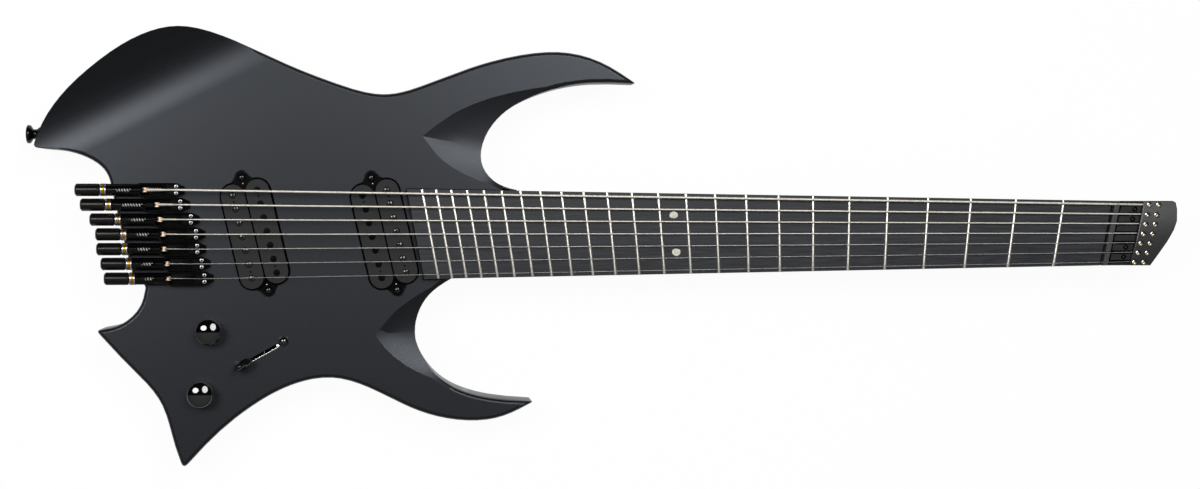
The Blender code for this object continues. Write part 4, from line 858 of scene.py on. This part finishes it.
def slotted_deck():
    """The head's deck, with a trench beside the nut and a slot for each string, whose sunk faces
    are painted near black as shade.
    """
    start, end = ((NUT_THICK + reach) / SCALE_MIDDLE + 1 for reach in (-NUT_GAP, DECK_GAP))
    trench = [fan_point(offset, fraction) for offset, fraction in
              ((-TRENCH_OFFSET, start), (-TRENCH_OFFSET, end), (TRENCH_OFFSET, end),
               (TRENCH_OFFSET, start))]
    deck = cut(copy_of("head_block"),
               raised(trench, DECK_TOP - TRENCH_DEPTH, DECK_TOP + CUT_CLEAR))
    slots = []
    for number in range(1, STRINGS + 1):
        near = fan_point(string_offset(number), end)
        far = fan_point(string_offset(number), 1 + (NUT_THICK + SLOT_END) / SCALE_MIDDLE)
        half = Vector((0, SLOT_WIDTH / 2))
        slots.append(raised((near - half, far - half, far + half, near + half),
                            DECK_TOP - SLOT_DEPTH, DECK_TOP + CUT_CLEAR))
    deck = cut(deck, joined(*slots))
    # Faces below the deck's top take the near-black second material: painted shade in the trench
    # and slots.
    for face in deck.faces:
        face.material_index = 0 if face.calc_center_median().z > DECK_TOP - WELD else 1
    return deck


def clamp_height(x, y):
    return CLAMP_TOP - y**2 / (2 * CLAMP_CROWN) - CLAMP_RISE * (CLAMP_HIGH_END - x)


def crown_normal(at):
    return Vector((-CLAMP_RISE, at.y / CLAMP_CROWN, 1)).normalized()


def crowned_clamp():
    """The string clamp in strips along the strings, its top brought down to the crown."""
    clamp = softened(copy_of("string_clamp"), CLAMP_ROUND, 60, 4)
    for k in range(-10, 11):
        bmesh.ops.bisect_plane(clamp, geom=clamp.verts[:] + clamp.edges[:] + clamp.faces[:],
                               plane_co=(0, CLAMP_STRIP * k, 0), plane_no=(0, 1, 0))
    for vert in clamp.verts:
        share = (vert.co.z - CLAMP_BASE) / (CLAMP_TOP - CLAMP_BASE)
        vert.co.z -= (CLAMP_TOP - clamp_height(vert.co.x, vert.co.y)) * share
    return clamp


def shade_crown(mesh):
    """Shades the clamp's top as one smooth crown, also round the bores of its screws."""
    normals = [corner.vector.copy() for corner in mesh.corner_normals]
    crown = set()
    for face in mesh.polygons:
        if face.normal.dot(crown_normal(face.center)) > 0.996:
            crown.update(face.vertices)
    for face in mesh.polygons:
        for loop in face.loop_indices:
            index = mesh.loops[loop].vertex_index
            if face.normal.z > 0.5 and index in crown:
                normals[loop] = crown_normal(mesh.vertices[index].co)
    mesh.normals_split_custom_set(normals)


def socket_screw(radius, socket, height, depth):
    """A round screw head with a six-sided socket, its top at height zero."""
    soft = radius * 0.18
    head = spun([(-height, 0), (-height, radius), (-soft, radius),
                 (-soft * 0.3, radius - soft * 0.3), (0, radius - soft), (0, 0)], 24)
    hole = bmesh.new()
    bmesh.ops.create_cone(hole, cap_ends=True, segments=6, radius1=socket, radius2=socket,
                          depth=2 * depth)
    return cut(head, hole)


def slotted_screw(radius, rise, height, width, depth, arms=1):
    """A domed screw head with one slot or a cross, its rim at height zero."""
    head = spun([(-height, 0), (-height, radius), (0, radius), (rise * 0.5, radius * 0.86),
                 (rise * 0.85, radius * 0.5), (rise, 0)], 24)
    reach = radius * (1.3 if arms == 1 else 0.6)
    for k in range(arms):
        blade = bar((-reach, -width / 2, rise - depth),
                    (reach, width / 2, rise + CUT_CLEAR))
        turn = Matrix.Rotation(math.pi * k / arms, 3, "Z")
        bmesh.ops.rotate(blade, verts=blade.verts, matrix=turn)
        head = cut(head, blade)
    return head


def string_path(number, ball, saddle):
    """The points a string runs through: ball, saddle, nut, and the clamp's tunnel."""
    radius = string_radius(number)
    offset = string_offset(number)
    at = fan_point(offset, 1 + NUT_THICK / 2 / SCALE_MIDDLE)
    nut = Vector((at.x, at.y, BOARD_TOP + NUT_SEAT + radius))
    at = fan_point(offset, 1 + (NUT_THICK + CLAMP_FRONT) / SCALE_MIDDLE)
    mouth = Vector((at.x - LEVEL_OFF, at.y, TUNNEL_HEIGHT))
    path = [ball + Vector((0.9 * MM, 0, 0))]
    path += [ball.lerp(saddle, share) for share in (0.2, 0.4, 0.6, 0.8, 0.94)]
    path += [saddle + Vector((-0.3 * MM, 0, 0)), saddle + Vector((0.6 * MM, 0, -0.02 * MM))]
    path += [saddle.lerp(nut, share) for share in (0.1, 0.3, 0.5, 0.7, 0.9, 0.996)]
    path += [nut + Vector((0.8 * MM, 0, -0.05 * MM)), mouth,
             mouth + Vector((STRING_TAIL, 0, 0))]
    return path


def plain_wire(path, radius):
    """A round wire along a path."""
    stations = []
    for i, point in enumerate(path):
        ahead = path[min(i + 1, len(path) - 1)] - path[max(i - 1, 0)]
        stations.append(station(point, ahead, radius))
    return swept(stations, 10)


def ball_wrap(ball, saddle, radius):
    """The string's end, wound round itself in front of its ball and thinning out."""
    reach = min(WRAP_REACH, (saddle - ball).length * WRAP_SHARE)
    along = (saddle - ball).normalized()
    side = along.cross(Vector((0, 0, 1))).normalized()
    up = side.cross(along)
    thin = max(radius * 0.62, WRAP_THINNEST)
    count = WRAP_TURNS * 10
    stations = []
    for k in range(count + 1):
        share = k / count
        angle = 2 * math.pi * WRAP_TURNS * share
        away = (radius + thin * 0.5) * (1 - 0.3 * share)
        point = ball + along * (WRAP_START + reach * share)
        point += (side * math.cos(angle) + up * math.sin(angle)) * away
        ahead = along * reach / WRAP_TURNS / (2 * math.pi)
        ahead += (up * math.cos(angle) - side * math.sin(angle)) * away
        stations.append(station(point, ahead, thin * (1.0 if 0 < k < count else 0.4)))
    return swept(stations, 6)


def make_strings():
    """The seven strings, each with its wrap, and the brass balls that anchor them."""
    section = in_mm(*BALL_HALF, *((-rise, reach) for rise, reach in reversed(BALL_HALF)))
    for number in range(1, STRINGS + 1):
        radius = string_radius(number)
        row = BRIDGE_SPREAD * string_offset(number)
        front = UNIT_FRONTS[number] * MM
        ball = Vector((front + BALL_PLACES[number] * MM, row, BODY_TOP + ROD_HEIGHT))
        saddle = Vector((front + SADDLE_SHIFTS[number] * MM, row,
                         BODY_TOP + SADDLE_TOP + SADDLE_SEAT + radius))
        wire = joined(plain_wire(string_path(number, ball, saddle), radius),
                      ball_wrap(ball, saddle, radius))
        metal = wound_nickel if number > PLAIN_STRINGS else plain_steel
        obj = piece("string_wire_%d" % number, wire, metal, body=None,
                    nodes=["string_%d" % number], sharp=60)
        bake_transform(obj)
        bobbin = spun(section, 20, Matrix.Translation(ball) @ ALONG_Y)
        piece("ball_end_%d" % number, bobbin, tarnished_brass, body="carriage_%d" % number,
              sharp=50)


def knurled_knob():
    """A tuner thimble with a diamond knurl between two plain, chamfered ends."""
    length = KNURL_END - KNURL_START
    profile = [(0, 0), (0, TUNER_RADIUS - 0.9 * MM), (0.5 * MM, TUNER_RADIUS - 0.35 * MM)]
    for k in range(KNURL_RINGS + 1):
        profile.append((KNURL_START + length * k / KNURL_RINGS, KNURL_ROOT))
    profile += [(TUNER_LENGTH - 0.8 * MM, TUNER_RADIUS - 0.4 * MM),
                (TUNER_LENGTH, TUNER_RADIUS - 1.2 * MM), (TUNER_LENGTH, 0)]
    form = spun(profile, KNURL_SIDES)
    for vert in form.verts:
        if KNURL_START - WELD < vert.co.z < KNURL_END + WELD:
            ring = round((vert.co.z - KNURL_START) / length * KNURL_RINGS)
            side = round(math.atan2(vert.co.y, vert.co.x) / (2 * math.pi) * KNURL_SIDES)
            if (ring + side) % 2:
                reach = TUNER_RADIUS / math.hypot(vert.co.x, vert.co.y)
                vert.co.x *= reach
                vert.co.y *= reach
    return moved(form, TO_REAR)


def threaded_rod(length, radius, pitch):
    """A rod with a helical ridge, from zero back along X."""
    core = spun([(0, 0), (0, radius * 0.66), (length, radius * 0.66), (length, 0)], 16)
    ridge = bmesh.new()
    corners = [(radius * 0.64, -0.3 * pitch), (radius, -0.1 * pitch), (radius, 0.1 * pitch),
               (radius * 0.64, 0.3 * pitch)]
    line = [ridge.verts.new((x, 0, z + pitch)) for x, z in corners]
    edges = [ridge.edges.new(pair) for pair in zip(line, line[1:])]
    turns = int(length / pitch) - 2
    bmesh.ops.spin(ridge, geom=line + edges, cent=(0, 0, 0), axis=(0, 0, 1),
                   dvec=(0, 0, pitch / 12), angle=2 * math.pi * turns, steps=12 * turns,
                   use_merge=False)
    # The ridge takes the second material, whose pale colour paints the highlight on the crests.
    for face in ridge.faces:
        face.material_index = 1
    return moved(joined(core, ridge), TO_REAR)


def bearing_ring(front, width, at):
    """A ring with chamfered lips between a unit's frame and its knob."""
    back = front + width
    return spun([(front, RING_BORE), (front, RING_RADIUS - RING_LIP),
                 (front + RING_LIP, RING_RADIUS), (back - RING_LIP, RING_RADIUS),
                 (back, RING_RADIUS - RING_LIP), (back, RING_BORE)], 32, at)


def make_frame(name, place):
    """A unit's frame on the face, and the rounded nose in front of its saddle."""
    base = softened(copy_of("bridge_base_" + name), 0.25 * MM, 60)
    piece("unit_frame_" + name, base, black_plating, nodes=["bridge_base_" + name])
    outline = in_mm((-6.2, -4.95), (-5.9, -4.95), (0.05, -2.5), (0.05, 2.5), (-5.9, 4.95),
                    (-6.2, 4.95))
    nose = softened(raised(outline, NOSE_BASE, NOSE_TOP), NOSE_ROUND, 20, 5)
    piece("unit_nose_" + name, moved(nose, place), black_plating)


def make_carriage(name, ball):
    """The threaded rod that pulls a string, and the cup that holds the string's ball."""
    rod = moved(threaded_rod(ROD_LENGTH, ROD_RADIUS, DRAWN_PITCH),
                ball @ Matrix.Translation((ROD_START, 0, 0)))
    piece("pull_rod_" + name, rod, [black_oxide, thread_painted_highlight], body="carriage_" + name)
    cup = spun(in_mm((-8.1, 0), (-8.1, 2.5), (-7.7, 2.9), (1.6, 2.9), (2.0, 2.6), (2.0, 0)),
               24, ALONG_X)
    pocket = bar((-2.2 * MM, -2.0 * MM, -2.2 * MM), (6 * MM, 2.0 * MM, 6 * MM))
    piece("string_anchor_" + name, moved(cut(cup, pocket), ball), black_plating,
          body="carriage_" + name, nodes=["string_carriage_" + name])


def make_saddle(name, place):
    """A sliding saddle block and its two height screws."""
    block = softened(copy_of("saddle_" + name), 0.2 * MM, 50)
    piece("saddle_block_" + name, block, black_plating, body="saddle_slide_" + name,
          nodes=["saddle_" + name])
    screw = socket_screw(1.42 * MM, 0.6 * MM, 1.5 * MM, 0.8 * MM)
    tops = both_sides(place, SADDLE_SCREW_REACH, SADDLE_SCREW_TOP)
    piece("height_screws_" + name, repeated(screw, tops), dulled_steel,
          body="saddle_slide_" + name)


def make_units():
    """The seven tuner units: frame, bearing rings, knurled knob, carriage and saddle."""
    rings = {"steel": [], "brass": []}
    for number in range(1, STRINGS + 1):
        name = str(number)
        place = unit_place(number)
        axis = place @ Matrix.Translation((0, 0, ROD_HEIGHT))
        bearing = axis @ Matrix.Translation((BEARING_FRONT, 0, 0)) @ TO_REAR
        make_frame(name, place)
        for metal, front, width in BEARING_RINGS:
            rings[metal].append(bearing_ring(front * MM, width * MM, bearing))
        knob = moved(knurled_knob(), axis @ Matrix.Translation((KNOB_FRONT, 0, 0)))
        piece("knurled_knob_" + name, knob, knurled_plating, body="tuner_" + name,
              nodes=["tuner_knob_" + name], sharp=20)
        make_carriage(name, axis @ Matrix.Translation((BALL_PLACES[number] * MM, 0, 0)))
        make_saddle(name, place @ Matrix.Translation((SADDLE_SHIFTS[number] * MM, 0, 0)))
    piece("thrust_rings", joined(*rings["steel"]), turned_steel)
    piece("thrust_washers", joined(*rings["brass"]), bare_brass)


def make_coil(name, kind, coil):
    """One bobbin of a pickup, drilled at both ends, with its row of poles."""
    drill = spun(in_mm((-2, 0), (-2, 0.7), (2, 0.7), (2, 0)), 12)
    bobbin = softened(copy_of("%s_%s_coil" % (name, kind)), 0.6 * MM, 50, 3)
    bobbin = cut(bobbin, repeated(drill, both_sides(coil, COIL_DRILL_REACH, 0)))
    moved(bobbin, coil @ Matrix.Diagonal(COIL_SHARES) @ coil.inverted())
    piece("%s_%s_bobbin" % (name, kind), bobbin, moulded_abs,
          nodes=["%s_%s_coil" % (name, kind)])
    seats = [coil @ Matrix.Translation((0, POLE_SPREAD * string_offset(number), 0))
             for number in range(1, STRINGS + 1)]
    if kind == "screw":
        metal = black_oxide
        pole = slotted_screw(2.4 * MM, 0.6 * MM, 0.9 * MM, 0.75 * MM, 0.7 * MM)
        seats = [seat @ Matrix.Translation((0, 0, 0.25 * MM))
                 @ Matrix.Rotation(0.4 + 1.1 * k, 4, "Z") for k, seat in enumerate(seats)]
    else:
        metal = black_and_painted_shade
        pole = spun(in_mm((-1, 0), (-1, 2.4), (0, 2.4), (0.12, 2.2), (0.15, 0)), 24)
    piece("%s_%s_poles" % (name, kind), repeated(pole, seats), metal)


def make_pickups():
    """Two pickups, each a carrier with two bobbins, its screws and its pins."""
    for name, (x, way) in PICKUPS.items():
        place = Matrix.Translation((x, 0, 0)) @ Matrix.Rotation(PICKUP_SLANT, 4, "Z")
        for kind, sign in (("screw", way), ("slug", -way)):
            make_coil(name, kind, place @ Matrix.Translation((sign * COIL_SHIFT, 0, COIL_TOP)))
        # The carrier's near-black finish is painted shade: it draws the shadow of the gap round
        # the bobbins.
        piece(name + "_carrier", softened(copy_of(name + "_base"), 0.3 * MM, 50),
              black_and_painted_shade, nodes=[name + "_base"])
        screw = slotted_screw(2.7 * MM, 1.3 * MM, 0.3 * MM, 0.7 * MM, 1.0 * MM, 2)
        piece(name + "_lug_screws",
              repeated(screw, both_sides(place, LUG_SPACING / 2, LUG_SCREW_BASE)),
              black_oxide)
        pin = slotted_screw(0.45 * MM, 0.2 * MM, 2.4 * MM, 0.2 * MM, 0.2 * MM)
        piece(name + "_bobbin_pins", repeated(pin, both_sides(place, PIN_REACH, PIN_TOP)),
              tarnished_brass)


def make_knobs():
    """The two control knobs: a straight wall, a rounded rim and a shallow domed cap."""
    inner = KNOB_RADIUS - RIM_ROUND
    cap = (inner + RIM_ROUND * math.sin(CAP_TILT)) / math.sin(CAP_TILT)
    wall = KNOB_HEIGHT - RIM_ROUND * math.cos(CAP_TILT) - cap * (1 - math.cos(CAP_TILT))
    profile = [(0, 0), (0, KNOB_RADIUS - 0.6 * MM), (0.4 * MM, KNOB_RADIUS - 0.1 * MM),
               (1.0 * MM, KNOB_RADIUS)]
    for k in range(10):
        turn = math.pi / 2 + (CAP_TILT - math.pi / 2) * k / 9
        profile.append((wall + RIM_ROUND * math.cos(turn), inner + RIM_ROUND * math.sin(turn)))
    for k in range(1, 12):
        turn = CAP_TILT * (1 - k / 12)
        profile.append((KNOB_HEIGHT - cap * (1 - math.cos(turn)), cap * math.sin(turn)))
    profile.append((KNOB_HEIGHT, 0))
    profile = [(KNOB_BASE + rise, reach) for rise, reach in profile]
    for name, at in KNOBS.items():
        piece(name + "_dome", spun(profile, 64, Matrix.Translation((*at, 0))), polished_acrylic,
              body=name, nodes=[name + "_knob"], sharp=60)


def make_switch():
    """The switch: blade and tip, a bright strip on the treble-side edge of its slot that paints
    the highlight of the slot's lit wall, and two screws in cups.
    """
    slant = Matrix.Rotation(SWITCH_ANGLE, 4, "Z")
    lever = (Matrix.Translation((*SWITCH_PLACE, SWITCH_PIVOT_Z)) @ slant
             @ Matrix.Rotation(-SWITCH_TILT, 4, "Y"))
    blade = copy_of("switch_lever")
    rim = bmesh.ops.bisect_plane(blade, geom=blade.verts[:] + blade.edges[:] + blade.faces[:],
                                 plane_co=lever @ Vector((0, 0, BLADE_END)),
                                 plane_no=lever.to_3x3() @ Vector((0, 0, 1)),
                                 clear_outer=True)["geom_cut"]
    bmesh.ops.holes_fill(blade, edges=only(rim, bmesh.types.BMEdge))
    piece("switch_blade", blade, turned_steel, body="switch", nodes=["switch_lever"])
    tip = spun(in_mm(*TIP_SECTION), 32)
    for vert in tip.verts:
        lean = TIP_LEAN if vert.co.z > TIP_WAIST else 0.0
        vert.co.x = vert.co.x * TIP_LENGTHEN - lean
        vert.co.y *= TIP_NARROW
    piece("switch_tip", moved(tip, lever), moulded_nylon, body="switch",
          sharp=80)
    # A thin bright strip and a round tab at the slot's treble-side edge and end: painted
    # highlight where the slot's wall catches the light.
    strip = bar((-12.0 * MM, -1.6 * MM, -0.4 * MM), (12.4 * MM, -1.15 * MM, 0.15 * MM), 0.1 * MM)
    tab = spun(in_mm((-0.4, 0), (-0.4, 1.1), (0.15, 1.1), (0.25, 0.9), (0.25, 0)), 20,
               Matrix.Translation((12.9 * MM, -0.5 * MM, 0)))
    slot_highlight_strip = moved(joined(strip, tab), Matrix.Translation((*SWITCH_PLACE, BODY_TOP)) @ slant)
    piece("switch_slot_painted_highlight", slot_highlight_strip, nickel_silver)
    seats = [Matrix.Translation((x, y, BODY_TOP)) for x, y in in_mm(*SWITCH_SCREWS)]
    dome = [(-0.6, 0), (-0.6, 3.1)]
    for k in range(9):
        turn = math.radians(10 * k)
        dome.append((1.9 * math.sin(turn), 3.1 * math.cos(turn)))
    dome.append((1.9, 0))
    piece("switch_screws", repeated(spun(in_mm(*dome), 28), seats), gloss_plating)
    cup = spun(in_mm((-0.4, 3.1), (-0.4, 3.9), (0.06, 3.9), (0.1, 3.7), (-0.1, 3.2)), 32)
    piece("switch_screw_cups", repeated(cup, seats), black_oxide)


def make_fittings():
    """The jack, strap buttons and cover, and the finishes of what stays plain inside."""
    piece("jack_barrel", softened(copy_of("output_jack"), 0.3 * MM, 50), black_plating,
          nodes=["output_jack"])
    for node in ("rear_strap_button", "horn_strap_button"):
        piece(node + "_turned", copy_of(node), black_plating, nodes=[node],
              sharp=60)
    piece("cover_plate", softened(copy_of("control_cover"), 0.4 * MM, 50), grained_abs,
          nodes=["control_cover"])
    for node, metal in (("truss_rod", turned_steel), ("volume_pot", dulled_steel),
                        ("tone_pot", dulled_steel), ("volume_shaft", turned_steel),
                        ("tone_shaft", turned_steel), ("switch_frame", dulled_steel)):
        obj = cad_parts[node]
        if obj.material_slots:
            obj.material_slots[0].material = metal
        else:
            obj.data.materials.append(metal)


def make_floor():
    """White paper under the guitar: it looks white itself, and still takes a shadow."""
    paper = bpy.data.materials.new("seamless_paper")
    paper.use_nodes = True
    tree = paper.node_tree
    tree.nodes.clear()
    light = add(tree, "ShaderNodeLightPath")
    seen = add(tree, "ShaderNodeMath", {"operation": "MAXIMUM"},
               {0: light.outputs["Is Camera Ray"], 1: light.outputs["Is Glossy Ray"]})
    seen = add(tree, "ShaderNodeMath", {"operation": "MAXIMUM"},
               {0: seen.outputs[0], 1: light.outputs["Is Transmission Ray"]})
    share = add(tree, "ShaderNodeMath", {"operation": "MULTIPLY", 1: 0.96}, {0: seen.outputs[0]})
    grain = add(tree, "ShaderNodeTexNoise", {"Scale": 400.0})
    tint = add(tree, "ShaderNodeMix", {"data_type": "RGBA", 6: linear("#f4f4f4"),
                                       7: linear("#ffffff")}, {"Factor": grain.outputs["Fac"]})
    matt = add(tree, "ShaderNodeBsdfDiffuse", links={"Color": tint.outputs[2]})
    glow = add(tree, "ShaderNodeEmission", {"Color": linear("#ffffff"), "Strength": 1.0})
    mixed = add(tree, "ShaderNodeMixShader", links={0: share.outputs[0], 1: matt.outputs[0],
                                                    2: glow.outputs[0]})
    add(tree, "ShaderNodeOutputMaterial", links={"Surface": mixed.outputs[0]})
    floor = bmesh.new()
    bmesh.ops.create_grid(floor, x_segments=1, y_segments=1, size=20.0,
                          matrix=Matrix.Translation((0.3, 0, -0.4 * MM)))
    piece("floor", floor, paper, body=None)


def make_surround():
    """A dark room with one pale wall on the treble side, brighter overhead, seen as white."""
    world = bpy.data.worlds.new("studio")
    bpy.context.scene.world = world
    world.use_nodes = True
    tree = world.node_tree
    tree.nodes.clear()
    place = add(tree, "ShaderNodeTexCoord")
    toward = add(tree, "ShaderNodeSeparateXYZ", links={0: place.outputs["Generated"]})
    wall = add(tree, "ShaderNodeMapRange",
               {"interpolation_type": "SMOOTHSTEP", "From Min": -0.035, "From Max": -0.09,
                "To Min": 0.03, "To Max": 1.0}, {"Value": toward.outputs["Y"]})
    fall = add(tree, "ShaderNodeMapRange", {"From Min": 0.2, "From Max": 1.0,
                                            "To Min": 0.12, "To Max": 0.36},
               {"Value": toward.outputs["Z"]})
    level = add(tree, "ShaderNodeMath", {"operation": "MULTIPLY"},
                {0: wall.outputs["Result"], 1: fall.outputs["Result"]})
    seen = add(tree, "ShaderNodeLightPath")
    level = add(tree, "ShaderNodeMath", {"operation": "MAXIMUM"},
                {0: level.outputs[0], 1: seen.outputs["Is Camera Ray"]})
    glow = add(tree, "ShaderNodeBackground", {"Color": linear("#ffffff")},
               {"Strength": level.outputs[0]})
    add(tree, "ShaderNodeOutputWorld", links={"Surface": glow.outputs[0]})


def make_windows():
    for name, (at, size, watts) in WINDOWS.items():
        lamp = bpy.data.lights.new(name, "AREA")
        lamp.shape = "ELLIPSE"
        lamp.size, lamp.size_y = size
        lamp.energy = watts
        obj = bpy.data.objects.new(name, lamp)
        bpy.context.scene.collection.objects.link(obj)
        obj.location = at
        back = (Vector(at) - WINDOWS_FACE).normalized()
        side = (Vector((1, 0, 0)) - back * back.x).normalized()
        turn = Matrix((side, back.cross(side), back)).transposed()
        obj.rotation_euler = turn.to_euler()
        obj.visible_camera = False


def make_camera():
    camera = bpy.data.cameras.new("camera")
    camera.lens = CAMERA_LENS
    camera.sensor_width = SENSOR_WIDTH
    camera.sensor_fit = "HORIZONTAL"
    obj = bpy.data.objects.new("camera", camera)
    bpy.context.scene.collection.objects.link(obj)
    obj.location = CAMERA_PLACE
    obj.rotation_euler = CAMERA_TURN
    bpy.context.scene.camera = obj
    bpy.context.scene.view_settings.view_transform = "Standard"


make_floor()
make_surround()
make_windows()
make_camera()
make_body()
make_fretboard()
make_head()
make_strings()
make_units()
make_pickups()
make_knobs()
make_switch()
make_fittings()
